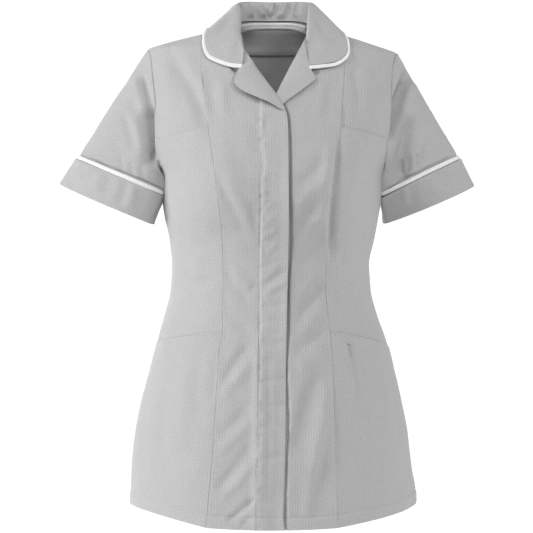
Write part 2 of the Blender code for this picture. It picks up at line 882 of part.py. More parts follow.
def collar_lines():
    """Across each station: up the stand, over the fold, down the fall; then the piping's two edges."""
    cloth = []
    trim = []
    for seam, roll, edge in collar_stations():
        way, _ = outward(edge)
        edge = edge + way * COLLAR_ABOVE
        down = unit(mix(seam, edge, 0.5) - roll)
        face = unit(edge - roll)
        out = unit(np.cross(np.cross(face, outward(edge)[0]), face))
        stand = unit(seam - roll)
        reach = np.linalg.norm(seam - roll)
        fold = min(3.0, reach * 0.35)
        start = roll + stand * (reach - COLLAR_SEAM)
        inner = roll + down * fold - out * COLLAR_FOLD
        outer = roll + down * fold + out * COLLAR_FOLD
        turn_in = edge - face * (PIPING_WIDTH + SEAM_GAP)
        line = [start, mix(start, inner, 0.5), inner, roll, outer]
        if roll[1] < 0:
            line[:3] = [clear_of_body(p, COLLAR_THICK / 2 + LAY_GAP) for p in line[:3]]
        for t, lift in ((0.33, 2.5), (0.66, 2.0)):
            line.append(clear_of_body(mix(outer, turn_in, t) + out * lift, COLLAR_ABOVE + 0.6))
        line.append(clear_of_body(turn_in, COLLAR_ABOVE))
        cloth.append(line)
        trim.append([turn_in + face * SEAM_GAP, edge - face * PIPING_WIDTH / 2, edge])
    return np.array(cloth), np.array(trim)


collar_grid, trim_grid = collar_lines()


def unit_normals(grid, outward_order):
    total = face_normals(grid, False) * (1.0 if outward_order else -1.0)
    return np.array([[unit(v) for v in row] for row in total])


wall(
    "collar",
    collar_grid,
    unit_normals(collar_grid, True),
    COLLAR_THICK / 2,
    -COLLAR_THICK / 2,
    outward_order=True,
    gap=0.0,
)
wall(
    "collar_piping",
    trim_grid,
    unit_normals(trim_grid, faces_outward(trim_grid, False)),
    (PIPING_THICK / 2, PIPING_THICK / 2, PIPING_THICK / 3),
    (-PIPING_THICK / 2, -PIPING_THICK / 2, -PIPING_THICK / 3),
    outward_order=faces_outward(trim_grid, False),
    colour=WHITE,
    gap=0.0,
)

# ---------------------------------------------------------------- lapels
LAPEL_LIFT = {"right": (PLACKET_RISE + 2.4, PLACKET_RISE + 1.2), "left": (2.6, 1.2)}


def lapel_grid(side_name):
    at_roll, at_edge = LAPEL_LIFT[side_name]
    rows = []
    for roll_x, roll_z, edge_x, edge_z in LAPELS[side_name]:
        line = []
        for t in (0.0, 0.34, 0.68, 1.0):
            p = on_body(mix(roll_x, edge_x, t), mix(roll_z, edge_z, t), "front")
            way, _ = outward(p)
            line.append(p + way * (mix(at_roll, at_edge, t) + WALL / 2))
        rows.append(line)
    return np.array(rows)


for side_name, side in SIDES:
    grid = lapel_grid(side_name)
    outward_order = faces_outward(grid, False)
    wall(
        f"lapel_{side_name}",
        grid,
        unit_normals(grid, outward_order),
        WALL / 2,
        -WALL / 2,
        outward_order=outward_order,
        gap=0.0,
    )

# ---------------------------------------------------------------- inside of the back neck
FACING_THICK = 1.2
FACING_FIRST_COLUMN = 2


def on_back_column(j, z):
    """The back's point and direction on one of its columns, at a height near the neck."""
    grid = grids["back", 0]
    out = offsets["back", 0]
    heights = grid[UPPER_ROW:, j, 2]
    i = min(int(np.searchsorted(heights, z, side="right")) - 1, len(heights) - 2)
    t = (z - heights[i]) / (heights[i + 1] - heights[i])
    i += UPPER_ROW
    return mix(grid[i, j], grid[i + 1, j], t), mix(out[i, j], out[i + 1, j], t)


def inside_strip(heights_at):
    """Part of the back near the neck; a row is one of the back's own or heights below its top."""
    columns = range(FACING_FIRST_COLUMN, grids["back", 0].shape[1] - FACING_FIRST_COLUMN)
    rows = []
    for kind, value in heights_at:
        line = []
        for j in columns:
            top = grids["back", 0][-1, j, 2]
            if kind == "row":
                line.append((grids["back", 0][value, j], offsets["back", 0][value, j]))
            else:
                line.append(on_back_column(j, value if kind == "height" else top - value))
        rows.append(line)
    points = np.array([[cell[0] for cell in row] for row in rows])
    ways = np.array([[cell[1] for cell in row] for row in rows])
    return points, ways


def inside_wall(name, strip, nearest, colour):
    grid, out = strip
    wall(
        name,
        grid,
        out,
        nearest,
        nearest - FACING_THICK,
        outward_order=faces_outward(grid, False),
        colour=colour,
        gap=0.0,
    )


FACING_TOP = 1.0  # below the neck seam
binding_rows = (("row", TOP_ROW - 2), ("row", TOP_ROW - 1), ("below", FACING_TOP))
facing_rows = (("height", FACING_BOTTOM), ("row", TOP_ROW - 4), ("row", TOP_ROW - 3), *binding_rows)
facing_from = -WALL - LAY_GAP
inside_wall("back_neck_facing", inside_strip(facing_rows), facing_from, INSIDE)
binding_from = facing_from - FACING_THICK - LAY_GAP
inside_wall("neck_binding", inside_strip(binding_rows), binding_from, CLOTH)
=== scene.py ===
import math

import bpy
import numpy as np
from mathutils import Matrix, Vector, noise


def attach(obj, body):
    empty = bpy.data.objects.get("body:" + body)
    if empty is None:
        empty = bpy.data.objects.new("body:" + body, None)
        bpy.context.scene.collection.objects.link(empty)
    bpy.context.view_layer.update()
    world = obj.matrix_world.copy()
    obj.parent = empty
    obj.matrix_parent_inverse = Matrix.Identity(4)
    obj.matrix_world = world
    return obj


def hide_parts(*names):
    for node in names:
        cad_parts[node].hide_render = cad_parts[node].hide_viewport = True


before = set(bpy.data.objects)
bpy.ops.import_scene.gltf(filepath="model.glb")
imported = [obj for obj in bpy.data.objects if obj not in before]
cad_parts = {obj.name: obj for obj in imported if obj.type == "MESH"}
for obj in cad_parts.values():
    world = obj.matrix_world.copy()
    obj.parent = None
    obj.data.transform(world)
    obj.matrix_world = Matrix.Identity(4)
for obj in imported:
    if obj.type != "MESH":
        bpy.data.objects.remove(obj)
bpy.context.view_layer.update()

# ---------------------------------------------------------------- back
# The back: a middle panel between two side backs, cut from finely striped polyester cotton.
# The three are joined by the back princess seams, pressed open and edge stitched. Sizes are in
# millimetres, +X is the wearer's left, and these tables give the form of the whole body.
MM = 0.001
CLOTH_THICK = 0.75
TURNED_THICK = 1.5  # where the cloth is turned in on itself
SECTION_POWER = 2.4
BODY = (
    # height, half width right, half width left, depth to the front, depth to the back
    (24, 46, 52, 32, 55),
    (12, 48, 54, 36, 58),
    (4, 52, 57, 40, 61),
    (-4, 62, 64, 44, 64),
    (-10, 83, 84, 48, 68),
    (-16, 104, 103, 52, 72),
    (-25, 142, 131, 57, 77),
    (-33, 171, 155, 61, 80),
    (-38, 185, 170, 64, 83),
    (-46, 190, 189, 68, 86),
    (-60, 193, 194, 74, 90),
    (-110, 195, 198, 93, 101),
    (-170, 189, 191, 113, 108),
    (-205, 178, 179, 121, 108),
    (-232, 166, 167, 125, 106),
    (-250, 165, 165, 126, 103),
    (-288, 161, 159, 121, 96),
    (-324, 153, 152, 111, 89),
    (-360, 150, 145, 106, 86),
    (-396, 151, 147, 105, 88),
    (-432, 159, 156, 108, 95),
    (-468, 170, 169, 113, 105),
    (-504, 180, 180, 118, 115),
    (-558, 194, 193, 123, 125),
    (-612, 205, 203, 128, 131),
    (-666, 210, 209, 132, 134),
    (-702, 211, 215.5, 134, 135),
    (-745, 211, 216.5, 136, 136),
)
ARMHOLE = (
    # height, distance of the seam from the middle, right and left
    (-38, 185, 189),
    (-48, 181, 184),
    (-75, 177, 178),
    (-118, 172, 175),
    (-150, 170, 171),
    (-190, 167.5, 168),
    (-222, 165.5, 166),
    (-232, 166, 167),
)
BACK_PRINCESS = (
    (-16, 104, 103),
    (-60, 103, 103),
    (-110, 97, 98),
    (-170, 88, 89),
    (-240, 77, 78),
    (-300, 69, 70),
    (-360, 64, 65),
    (-420, 67, 68),
    (-500, 78, 79),
    (-600, 90, 91),
    (-740, 101, 102),
)
FRONT_PRINCESS = (
    (-16, 104, 103),
    (-66, 103.5, 106),
    (-118, 98, 103),
    (-160, 93, 100),
    (-208, 86, 95.5),
    (-253, 79, 89),
    (-318, 73, 85),
    (-368, 71, 78),
    (-412, 71, 78),
    (-457, 71.5, 83.5),
    (-483, 76.5, 86),
    (-523, 79, 88),
    (-615, 84, 90.5),
    (-668, 88, 93.5),
    (-740, 94.5, 94.5),
)
# Lines round the body: height at the side right and left, at the princess seams, at the middle,
# and the number of steps up to the line. The pocket mouths lie on two of them.
LEVELS = (
    ("hem", -717, -715.5, -739.5, -742, 0),
    ("hip pocket", -478, -487, -458, -458, 8),
    ("waist", -360, -360, -360, -360, 4),
    ("underarm", -232, -232, -228, -228, 5),
    ("chest pocket", -174.5, -174.5, -160.5, -160.5, 5),
    ("chest", -126, -126, -112, -112, 2),
    ("shoulder", 0, 0, 0, 0, 7),
)
HIP, UNDERARM, CHEST, SHOULDER = 8, 17, 22, 31
HEM_LATENESS = {-1: 2.2, 1: 1.5}  # the hem rises to the side seams late; 1 is an even rise
NECK_SIDE_HEIGHT = -4.0
NECK_BACK_RISE = 14.0
NECK_HALF_WIDTH = 62.0
NECK_BACK_FLATNESS = 4
BUST_LIFT, BUST_AT, BUST_SPREAD = 9.0, (86.0, -246.0), (46.0, 62.0)
BUST_FADE = 2.2  # a higher number keeps the bust full nearer the side seams
SHOULDER_LOWEST = -50.0
HALVINGS, PASSES = 32, 30  # of the searches for the shoulder line and for where rows meet a seam
SIDES = (("right", -1), ("left", 1))


class Curve:
    """A smooth curve through one column of a table, without overshoot."""

    def __init__(self, rows, column):
        order = sorted(rows, key=lambda row: row[0])
        self.x = np.array([row[0] for row in order], float)
        self.y = np.array([row[column] for row in order], float)
        step = np.diff(self.x)
        slope = np.diff(self.y) / step
        self.m = np.zeros(len(self.x))
        for i in range(1, len(self.x) - 1):
            if slope[i - 1] * slope[i] > 0:
                before = 2 * step[i] + step[i - 1]
                after = step[i] + 2 * step[i - 1]
                self.m[i] = (before + after) / (before / slope[i - 1] + after / slope[i])
        self.m[0] = slope[0]
        self.m[-1] = slope[-1]

    def __call__(self, at):
        at = np.clip(at, self.x[0], self.x[-1])
        i = np.clip(np.searchsorted(self.x, at, side="right") - 1, 0, len(self.x) - 2)
        step = self.x[i + 1] - self.x[i]
        t = (at - self.x[i]) / step
        near = self.y[i] * (1 + 2 * t) * (1 - t) ** 2 + self.m[i] * step * t * (1 - t) ** 2
        return near + self.y[i + 1] * t * t * (3 - 2 * t) - self.m[i + 1] * step * t * t * (1 - t)


half_width = {-1: Curve(BODY, 1), 1: Curve(BODY, 2)}
depth = {"front": Curve(BODY, 3), "back": Curve(BODY, 4)}
armhole = {-1: Curve(ARMHOLE, 1), 1: Curve(ARMHOLE, 2)}
princess = {
    "front": {-1: Curve(FRONT_PRINCESS, 1), 1: Curve(FRONT_PRINCESS, 2)},
    "back": {-1: Curve(BACK_PRINCESS, 1), 1: Curve(BACK_PRINCESS, 2)},
}


def mix(a, b, t):
    return a + (b - a) * t


def ease(t):
    t = np.clip(t, 0.0, 1.0)
    return t * t * (3 - 2 * t)


def swell(at, middle, width):
    """1 at the middle, fading to 0 at both sides over about twice the width."""
    return np.exp(-(((at - middle) / width) ** 2))


def unit(v):
    return v / np.maximum(np.linalg.norm(v, axis=-1, keepdims=True), 1e-9)


def width_at(x, z):
    return np.where(x < 0, half_width[-1](z), half_width[1](z))


def on_body(x, z, face):
    """The body's surface above points of the XZ plane, at its front or back."""
    x, z = np.broadcast_arrays(np.asarray(x, float), np.asarray(z, float))
    share = np.minimum(np.abs(x) / width_at(x, z), 1.0)
    away = np.sqrt(np.maximum(1 - share**SECTION_POWER, 0.0))
    y = depth[face](z) * away
    if face == "front":
        across = (np.abs(x) - BUST_AT[0]) / BUST_SPREAD[0]
        along = (z - BUST_AT[1]) / BUST_SPREAD[1]
        bust = BUST_LIFT * np.exp(-across * across - along * along)
        y = -y - bust * np.minimum(1.0, BUST_FADE * away)
    return np.stack((x, y, z), axis=-1)


def level_of(p):
    x, y, z = p[..., 0], p[..., 1], p[..., 2]
    deep = np.where(y < 0, depth["front"](z), depth["back"](z))
    return (np.abs(x) / width_at(x, z)) ** SECTION_POWER + (y / deep) ** 2 - 1


def rise_of_level(p):
    reach = 0.5
    slopes = [(level_of(p + reach * way) - level_of(p - reach * way)) / (2 * reach) for way in np.eye(3)]
    return np.stack(slopes, axis=-1)


def outward(p):
    """Direction away from the body."""
    return unit(rise_of_level(p))


def clear_of_body(p, distance):
    """The points, moved out where they lie closer to the body than the distance."""
    for _ in range(3):
        slope = rise_of_level(p)
        rate = np.linalg.norm(slope, axis=-1)
        short = np.maximum(distance - level_of(p) / rate, 0.0)
        p = p + slope / rate[..., None] * short[..., None]
    return p


def ridge(x):
    """Height of the shoulder line above points of the X axis."""
    high = np.full(np.shape(x), NECK_SIDE_HEIGHT)
    low = np.full(np.shape(x), SHOULDER_LOWEST)
    for _ in range(HALVINGS):
        middle = (high + low) / 2
        narrow = width_at(x, middle) < np.abs(x)
        high = np.where(narrow, middle, high)
        low = np.where(narrow, low, middle)
    return np.where(np.abs(x) <= width_at(x, NECK_SIDE_HEIGHT), NECK_SIDE_HEIGHT, (high + low) / 2)


def neck_back(x):
    fall = np.abs(x / NECK_HALF_WIDTH) ** NECK_BACK_FLATNESS
    return NECK_SIDE_HEIGHT + NECK_BACK_RISE * np.maximum(0.0, 1 - fall)


def top_height(x, face):
    if face == "front":
        return ridge(x)
    return np.where(np.abs(x) < width_at(x, NECK_SIDE_HEIGHT), neck_back(x), ridge(x))


def lines_at(rows, side):
    """Height at the side, the princess seam and the middle, and the rise to the shoulder, at rows."""
    rows = np.asarray(rows, float)
    out = np.zeros((4, len(rows)))
    start = 0
    for below, here in zip(LEVELS, LEVELS[1:]):
        count = here[5]
        t = np.clip((rows - start) / count, 0.0, 1.0)
        reached = (rows > start) | (start == 0)
        outer = 1 if side < 0 else 2
        if here[0] == "shoulder":
            values = [np.full(len(rows), below[k], float) for k in (outer, 3, 4)] + [1 - (1 - t) ** 2]
        else:
            at_side = t * t if here[0] == "chest pocket" else t
            values = [mix(below[outer], here[outer], at_side), mix(below[3], here[3], t)]
            values += [mix(below[4], here[4], t), np.zeros(len(rows))]
        for k in range(4):
            out[k] = np.where(reached, values[k], out[k])
        start += count
    return out


def meet(edge, low, rise, face, first):
    """Where rising rows meet a seam that is given as X by height."""
    x = np.asarray(first, float)
    z = low
    for _ in range(PASSES):
        z = mix(low, top_height(x, face), rise)
        x = mix(x, edge(z), 0.6)
    return x, z


def seam_line(rows, side, face):
    _, z, _, rise = lines_at(rows, side)
    line = princess[face][side]
    return meet(lambda h: side * line(h), z, rise, face, side * line(z))


def side_line(rows, side):
    z, _, _, rise = lines_at(rows, side)
    x, z = meet(lambda h: side * armhole[side](h), z, rise, "front", side * armhole[side](z))
    return np.where(rows <= UNDERARM, side * half_width[side](z), x), z


def side_points(rows, shares, side, face):
    """A side panel's surface, from the side seam or armhole to the princess seam."""
    low_out, low_in, _, rise = lines_at(rows, side)
    x_out, z_out = side_line(rows, side)
    x_in, z_in = seam_line(rows, side, face)
    width = half_width[side]
    power = SECTION_POWER / 2
    out_turn = np.arccos(np.minimum(1.0, (np.abs(x_out) / width(z_out)) ** power))
    in_turn = np.arccos(np.minimum(1.0, (np.abs(x_in) / width(z_in)) ** power))
    round_it = 1 - ease((rows - UNDERARM) / (CHEST - UNDERARM))
    lateness = mix(HEM_LATENESS[side], 1.0, np.minimum(rows / HIP, 1.0))
    u = shares[None, :]
    z = mix(z_out[:, None], z_in[:, None], u ** lateness[:, None])
    turn = mix(out_turn[:, None], in_turn[:, None], u)
    turned = side * width(z) * np.cos(turn) ** (1 / power)
    x = mix(mix(x_out[:, None], x_in[:, None], u), turned, round_it[:, None])
    risen = mix(mix(low_out[:, None], low_in[:, None], u), top_height(x, face), rise[:, None])
    z = np.where(rise[:, None] > 0, risen, z)
    x[:, 0], z[:, 0], x[:, -1], z[:, -1] = x_out, z_out, x_in, z_in
    points = on_body(x, z, face)
    points[rows <= UNDERARM, 0, 1] = 0.0
    points[rise >= 1, :, 1] = 0.0
    return points


def middle_points(rows, shares, x_from, x_to, side, face):
    """A centre panel's surface between two lines; the first is a princess seam."""
    _, low_seam, low_middle, rise = lines_at(rows, side)
    x = mix(x_from[:, None], x_to[:, None], shares[None, :])
    near = 1 - np.minimum(np.abs(x) / np.abs(x_from[:, None]), 1.0) ** 2
    z = mix(low_seam[:, None], low_middle[:, None], near)
    z = np.where(rise[:, None] > 0, mix(z, top_height(x, face), rise[:, None]), z)
    points = on_body(x, z, face)
    top = (rise[:, None] >= 1) & (np.abs(x) >= width_at(x, NECK_SIDE_HEIGHT) - 0.01)
    points[..., 1] = np.where(top, 0.0, points[..., 1])
    return points


def run_along(line):
    """Distance of each place of a line from its first one."""
    return np.concatenate([[0.0], np.cumsum(np.linalg.norm(np.diff(line, axis=0), axis=1))])


NEAR_EDGE = (0.0, 0.35, 0.8, 1.4, 2.2, 3.3)
NEAR_MARK = (-1.1, -0.4, 0.4, 1.1)
every_row = np.arange(0, SHOULDER + 0.01, 0.05)
seam_x, seam_z = seam_line(every_row, -1, "front")
seam_run = run_along(on_body(seam_x, seam_z, "front"))


def places(length, step, marks=(), start=NEAR_EDGE, end=NEAR_EDGE):
    """Places along a length, close together at its ends and at marks."""
    wanted = set(start) | {length - e for e in end}
    for mark in marks:
        wanted |= {mark + d for d in NEAR_MARK}
    keep = sorted(w for w in wanted if 0 <= w <= length)
    filled = [keep[0]]
    for a, b in zip(keep, keep[1:]):
        count = max(1, round((b - a) / step))
        filled += [mix(a, b, k / count) for k in range(1, count + 1)]
    return np.array(filled)


def shares_of(length, step, **more):
    """The same places as shares of the length."""
    return places(length, step, **more) / length


def rows_between(first, last, step=3.2, under=0.0, marks=()):
    """Rows between two rows, a few millimetres apart; the first may start further down."""
    start = np.interp(first, every_row, seam_run) - under
    end = np.interp(last, every_row, seam_run)
    run = start + places(end - start, step, marks)
    rows = np.interp(run, seam_run, every_row)
    rows[-1] = last
    if not under:
        rows[0] = first
    return rows


def grid_normals(points):
    along = np.gradient(points, axis=0)
    across = np.gradient(points, axis=1)
    return unit(np.cross(across, along))


def distances(points):
    """Of each point along its row and its column, from the first and from the last."""
    across = np.linalg.norm(np.diff(points, axis=1), axis=2).cumsum(axis=1)
    across = np.concatenate([np.zeros((len(points), 1)), across], axis=1)
    along = np.linalg.norm(np.diff(points, axis=0), axis=2).cumsum(axis=0)
    along = np.concatenate([np.zeros((1, points.shape[1])), along], axis=0)
    return across, across[:, -1:] - across, along, along[-1:] - along


def rolled(distance, deep=0.7, reach=1.2):
    """How far a seamed edge turns down, at a distance from it."""
    left = np.clip(1 - distance / reach, 0.0, 1.0)
    return -deep * (1 - np.sqrt(1 - left * left))


EDGE_STITCHING = 2.6  # from a seam to the stitches beside it
WELT, STITCH_DENT = 0.45, 0.3


def topstitched(distance):
    """The lifted, stitched edge of a panel that lies on top at a seam."""
    welt = WELT * ease(distance) * (1 - ease((distance - 3.4) / 2.6))
    return rolled(distance, 0.35, 0.7) + welt - STITCH_DENT * swell(distance, EDGE_STITCHING, 0.7)


def through(points, count):
    """A smooth line of evenly spaced places through control points."""
    points = np.asarray(points, float)
    steps = np.linalg.norm(np.diff(points, axis=0).reshape(len(points) - 1, -1, points.shape[-1]), axis=2)
    knots = np.concatenate([[0.0], steps.mean(axis=1).cumsum()])
    gap = np.diff(knots).reshape((-1,) + (1,) * (points.ndim - 1))
    slope = np.diff(points, axis=0) / gap
    inner = (slope[:-1] * gap[1:] + slope[1:] * gap[:-1]) / (gap[:-1] + gap[1:])
    tangent = np.concatenate([slope[:1], inner, slope[-1:]])
    at = np.linspace(0, knots[-1], count)
    i = np.clip(np.searchsorted(knots, at, side="right") - 1, 0, len(knots) - 2)
    shape = (-1,) + (1,) * (points.ndim - 1)
    t = ((at - knots[i]) / (knots[i + 1] - knots[i])).reshape(shape)
    h = (knots[i + 1] - knots[i]).reshape(shape)
    near = points[i] * (1 + 2 * t) * (1 - t) ** 2 + tangent[i] * h * t * (1 - t) ** 2
    return near + points[i + 1] * t * t * (3 - 2 * t) - tangent[i + 1] * h * t * t * (1 - t)


def crease_lift(points, creases, line_of):
    """Soft troughs (below zero) and ridges (above) along given lines, by height and width."""
    flat = points.reshape(-1, 3)
    lift = np.zeros(len(flat))
    for height, width, lean, route in creases:
        line = line_of(through(route, 24))
        reach = 2.6 * width * (1 + abs(lean))
        inside = ((flat > line.min(axis=0) - reach) & (flat < line.max(axis=0) + reach)).all(axis=1)
        near = flat[inside]
        if not len(near):
            continue
        a, b = line[:-1], line[1:]
        seg = b - a
        size = (seg * seg).sum(axis=1)
        t = np.clip(((near[:, None] - a) * seg).sum(axis=2) / size, 0, 1)
        foot = a + seg * t[..., None]
        gap = near[:, None] - foot
        far = np.linalg.norm(gap, axis=2)
        best = far.argmin(axis=1)
        pick = np.arange(len(near))
        far = far[pick, best]
        side = np.sign(gap[pick, best, 0] * seg[best, 2] - gap[pick, best, 2] * seg[best, 0])
        run = (best + t[pick, best]) / len(seg)
        ends = ease(run / 0.22) * ease((1 - run) / 0.22)
        r = far / (width * (1 + lean * side))
        lift[inside] += height * ends * (1 - 0.45 * r * r) * np.exp(-0.8 * r * r)
    return lift.reshape(points.shape[:-1])


def on_face(face):
    """Puts a crease's line, given by X and height, on the front or back of the body."""
    return lambda route: on_body(route[:, 0], route[:, 1], face)


WAVES = (
    # height, size round the body and up it, and a shift that makes each kind run its own way
    (1.6, 62, 150, 0, 0),
    (0.85, 24, 46, 7, 0),
    (0.14, 9, 11, 0, 3),
)


def uneven(points):
    """Slow, shallow waviness of worn cloth, the same on both sides of a seam."""
    flat = points.reshape(-1, 3)
    out = np.zeros(len(flat))
    for k, (x, y, z) in enumerate(flat.tolist()):
        for height, wide, tall, right, back in WAVES:
            out[k] += height * noise.noise(Vector((x / wide + right, y / wide + back, z / tall)))
    return out.reshape(points.shape[:-1])


COVERED = (
    # down to which height and out to which X the collar, then the lapels, lie on the body, each
    # with the width of the fade
    (-100, 25, 125, 20),
    (-152, 20, 72, 15),
)
HELD_DOWN = 0.85


def calm(points):
    """1 where the cloth is free to move, less under the collar and the lapels."""
    x, z = np.abs(points[..., 0]), points[..., 2]
    under = [ease((z - low) / fade) * ease((out - x) / soft) for low, fade, out, soft in COVERED]
    return 1 - HELD_DOWN * np.maximum(*under)


def puckers(points, distance, deep=0.35, reach=9.0):
    """Small gathers along a seam, at a distance from it."""
    flat = points.reshape(-1, 3)
    wave = np.array([noise.noise(Vector((x / 14, y / 14, z / 6.5 + 11))) for x, y, z in flat.tolist()])
    return deep * 1.6 * wave.reshape(points.shape[:-1]) * swell(distance, 0.0, reach)


def in_scene(name, points, faces, grain):
    """A mesh from points in millimetres; its grain places the stripes and threads on it."""
    mesh = bpy.data.meshes.new(name)
    mesh.from_pydata((points * MM).tolist(), [], faces)
    mesh.update()
    own = mesh.attributes.new("grain", "FLOAT_VECTOR", "POINT")
    own.data.foreach_set("vector", grain.ravel())
    made = bpy.data.objects.new(name, mesh)
    bpy.context.scene.collection.objects.link(made)
    return made


SHARP_ANGLE = math.radians(55)
panels = {}  # each piece's outer face and its normals, for the stitching


def sheet_mesh(name, outer, thick, across, along, way):
    """Cloth as a closed skin: an outer face, an inner one below it, and the edges between them."""
    rows, columns = outer.shape[:2]
    normal = grid_normals(outer)
    flip = float((normal * way).sum()) < 0
    if flip:
        normal = -normal
    inner = outer - normal * np.broadcast_to(np.asarray(thick, float), (rows, columns))[..., None]
    count = rows * columns
    index = np.arange(count).reshape(rows, columns)
    a, b, c, d = index[:-1, :-1], index[:-1, 1:], index[1:, 1:], index[1:, :-1]
    top = np.stack([a, b, c, d], axis=-1).reshape(-1, 4)
    edge = [np.stack([r, s, s + count, r + count], axis=-1) for r, s in (
        (index[0, 1:], index[0, :-1]),
        (index[-1, :-1], index[-1, 1:]),
        (index[:-1, 0], index[1:, 0]),
        (index[1:, -1], index[:-1, -1]),
    )]
    faces = np.concatenate([top, top[:, ::-1] + count, *edge])
    if flip:
        faces = faces[:, ::-1]
    points = np.concatenate([outer.reshape(-1, 3), inner.reshape(-1, 3)])
    own = np.stack(np.broadcast_arrays(across, along, np.zeros((rows, columns))), axis=-1)
    made = in_scene(name, points, faces.tolist(), np.concatenate([own.reshape(-1, 3)] * 2))
    made.data.shade_smooth()
    made.data.set_sharp_from_angle(angle=SHARP_ANGLE)
    panels[name] = (outer, normal)
    return made


class Dye:
    """A value in a material's nodes: sums and products of it add Math nodes."""

    def __init__(self, tree, socket):
        self.tree = tree
        self.socket = socket

    def node(self, kind, settings=(), values=()):
        """Any other node: its settings are set first, then the values or links of its sockets."""
        made = self.tree.nodes.new(kind)
        for key, value in dict(settings).items():
            setattr(made, key, value)
        for key, value in dict(values).items():
            if isinstance(value, Dye):
                self.tree.links.new(value.socket, made.inputs[key])
            else:
                made.inputs[key].default_value = value
        return made

    def out(self, made, key=0):
        return Dye(self.tree, made.outputs[key])

    def maths(self, operation, a, b=0.0):
        return self.out(self.node("ShaderNodeMath", {"operation": operation}, {0: a, 1: b}))

    def __add__(self, other):
        return self.maths("ADD", self, other)

    __radd__ = __add__

    def __sub__(self, other):
        return self.maths("SUBTRACT", self, other)

    def __rsub__(self, other):
        return self.maths("SUBTRACT", other, self)

    def __mul__(self, other):
        return self.maths("MULTIPLY", self, other)

    __rmul__ = __mul__

    def sine(self):
        return self.maths("SINE", self)

    def power(self, by):
        return self.maths("POWER", self, by)

    def blend(self, low, high):
        """A colour between two colours."""
        settings = {"data_type": "RGBA", "clamp_factor": True}
        return self.out(self.node("ShaderNodeMix", settings, {0: self, 6: low, 7: high}), 2)


STRIPE_PITCH = 4.05
THREAD_PITCH = 0.62
STRIPE_PALE = (0.500, 0.500, 0.500, 1.0)
STRIPE_GREY = (0.375, 0.375, 0.375, 1.0)
SLUB_SIZE, SPECK_SIZE, THREAD_STRETCH = 0.05, 0.6, (1.4, 0.12, 1.0)
STRIPE_DEPTH, NARROW_DEPTH, THREAD_DEPTH, SLUB_DEPTH, SPECK_DEPTH = 0.22, 0.08, 0.5, 0.35, 3.2
MATT, WEAVE_HEIGHT = 0.86, 0.00012


def woven(name, pale, grey, pitch=STRIPE_PITCH, sheen=0.12, bump=0.35):
    """Matt plain-woven cloth with fine stripes along its grain and a little thread unevenness."""
    made = bpy.data.materials.new(name)
    made.use_nodes = True
    tree = made.node_tree
    shader = tree.nodes["Principled BSDF"]
    dye = Dye(tree, None)
    grain = dye.out(dye.node("ShaderNodeAttribute", {"attribute_name": "grain"}), "Vector")
    parts = dye.node("ShaderNodeSeparateXYZ", (), {0: grain})
    across, along = dye.out(parts, 0), dye.out(parts, 1)

    def cloudy(place, scale, detail):
        values = {"Vector": place, "Scale": scale, "Detail": detail}
        return dye.out(dye.node("ShaderNodeTexNoise", {"noise_dimensions": "3D"}, values))

    stretched = dye.node(
        "ShaderNodeVectorMath", {"operation": "MULTIPLY"}, {0: grain, 1: THREAD_STRETCH}
    )
    worn = cloudy(grain, SLUB_SIZE, 4.0)
    speck = cloudy(grain, SPECK_SIZE, 3.0)
    threads = cloudy(dye.out(stretched), 1.0, 3.0)
    wander = worn * 0.5 - 0.25
    stripe = ((across + wander) * (2 * math.pi / pitch)).sine() * STRIPE_DEPTH + 0.5
    narrow = ((across + wander) * (4 * math.pi / pitch) + 0.9).sine() * NARROW_DEPTH
    colour = stripe + narrow + (threads - 0.5) * THREAD_DEPTH + (worn - 0.5) * SLUB_DEPTH
    colour = colour + (speck - 0.5) * SPECK_DEPTH
    tree.links.new(colour.blend(grey, pale).socket, shader.inputs["Base Color"])
    tree.links.new((MATT + (worn - 0.5) * 0.12).socket, shader.inputs["Roughness"])
    warp = (across * (2 * math.pi / THREAD_PITCH)).sine()
    weft = (along * (2 * math.pi / THREAD_PITCH)).sine()
    weave = warp * weft * 0.5 + threads * 1.4
    raised = dye.node("ShaderNodeBump", (), {"Strength": bump, "Distance": WEAVE_HEIGHT, "Height": weave})
    tree.links.new(raised.outputs[0], shader.inputs["Normal"])
    finish = {"Metallic": 0.0, "Sheen Weight": sheen, "Sheen Roughness": 0.6, "Specular IOR Level": 0.25}
    for key, value in finish.items():
        shader.inputs[key].default_value = value
    return made


striped_cloth = woven("striped_cloth", STRIPE_PALE, STRIPE_GREY)


def declare(made, cloth):
    """Gives a cloth piece its finish and its place on the tunic, and hides the model's part of the same
    name.
    """
    made.data.materials.append(cloth)
    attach(made, "root")
    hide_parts(made.name.removeprefix("cloth_"))
    return made


def body_panel(name, base, lift, thick, reference):
    """A panel of the body: its surface, lifted off the form and given thickness."""
    way = outward(base)
    outer = base + way * lift[..., None]
    across, _, along, _ = distances(outer)
    zero = np.array([np.interp(x, row_x, run) for x, row_x, run in reference(base, across)])
    made = sheet_mesh(name, outer, thick, across - zero[:, None], along, way)
    return declare(made, striped_cloth)


def from_middle(base, across):
    """Stripes counted from the body's middle."""
    return [(0.0, base[k, :, 0], across[k]) for k in range(len(base))]


def from_own_middle(base, across):
    """Stripes counted from the panel's own middle line."""
    return [(0.5, across[k] / max(across[k, -1], 1e-6), across[k]) for k in range(len(base))]


HEM_DEPTH = 18.0
SHOULDER_FADE = 30.0  # creases and waves die out toward the shoulder seam


def hemmed(along):
    """The cloth's thickness, more where the hem is turned up."""
    return CLOTH_THICK + (TURNED_THICK - CLOTH_THICK) * (1 - ease((along - HEM_DEPTH - 0.6) / 1.6))


def hem_lift(along):
    """The turned hem stands out a little and is dented along its stitching."""
    band = 1 - ease((along - HEM_DEPTH) / 2.5)
    dent = -1.6 * swell(along, HEM_DEPTH, 1.2)
    return band + dent + rolled(along, 0.35, 0.9)


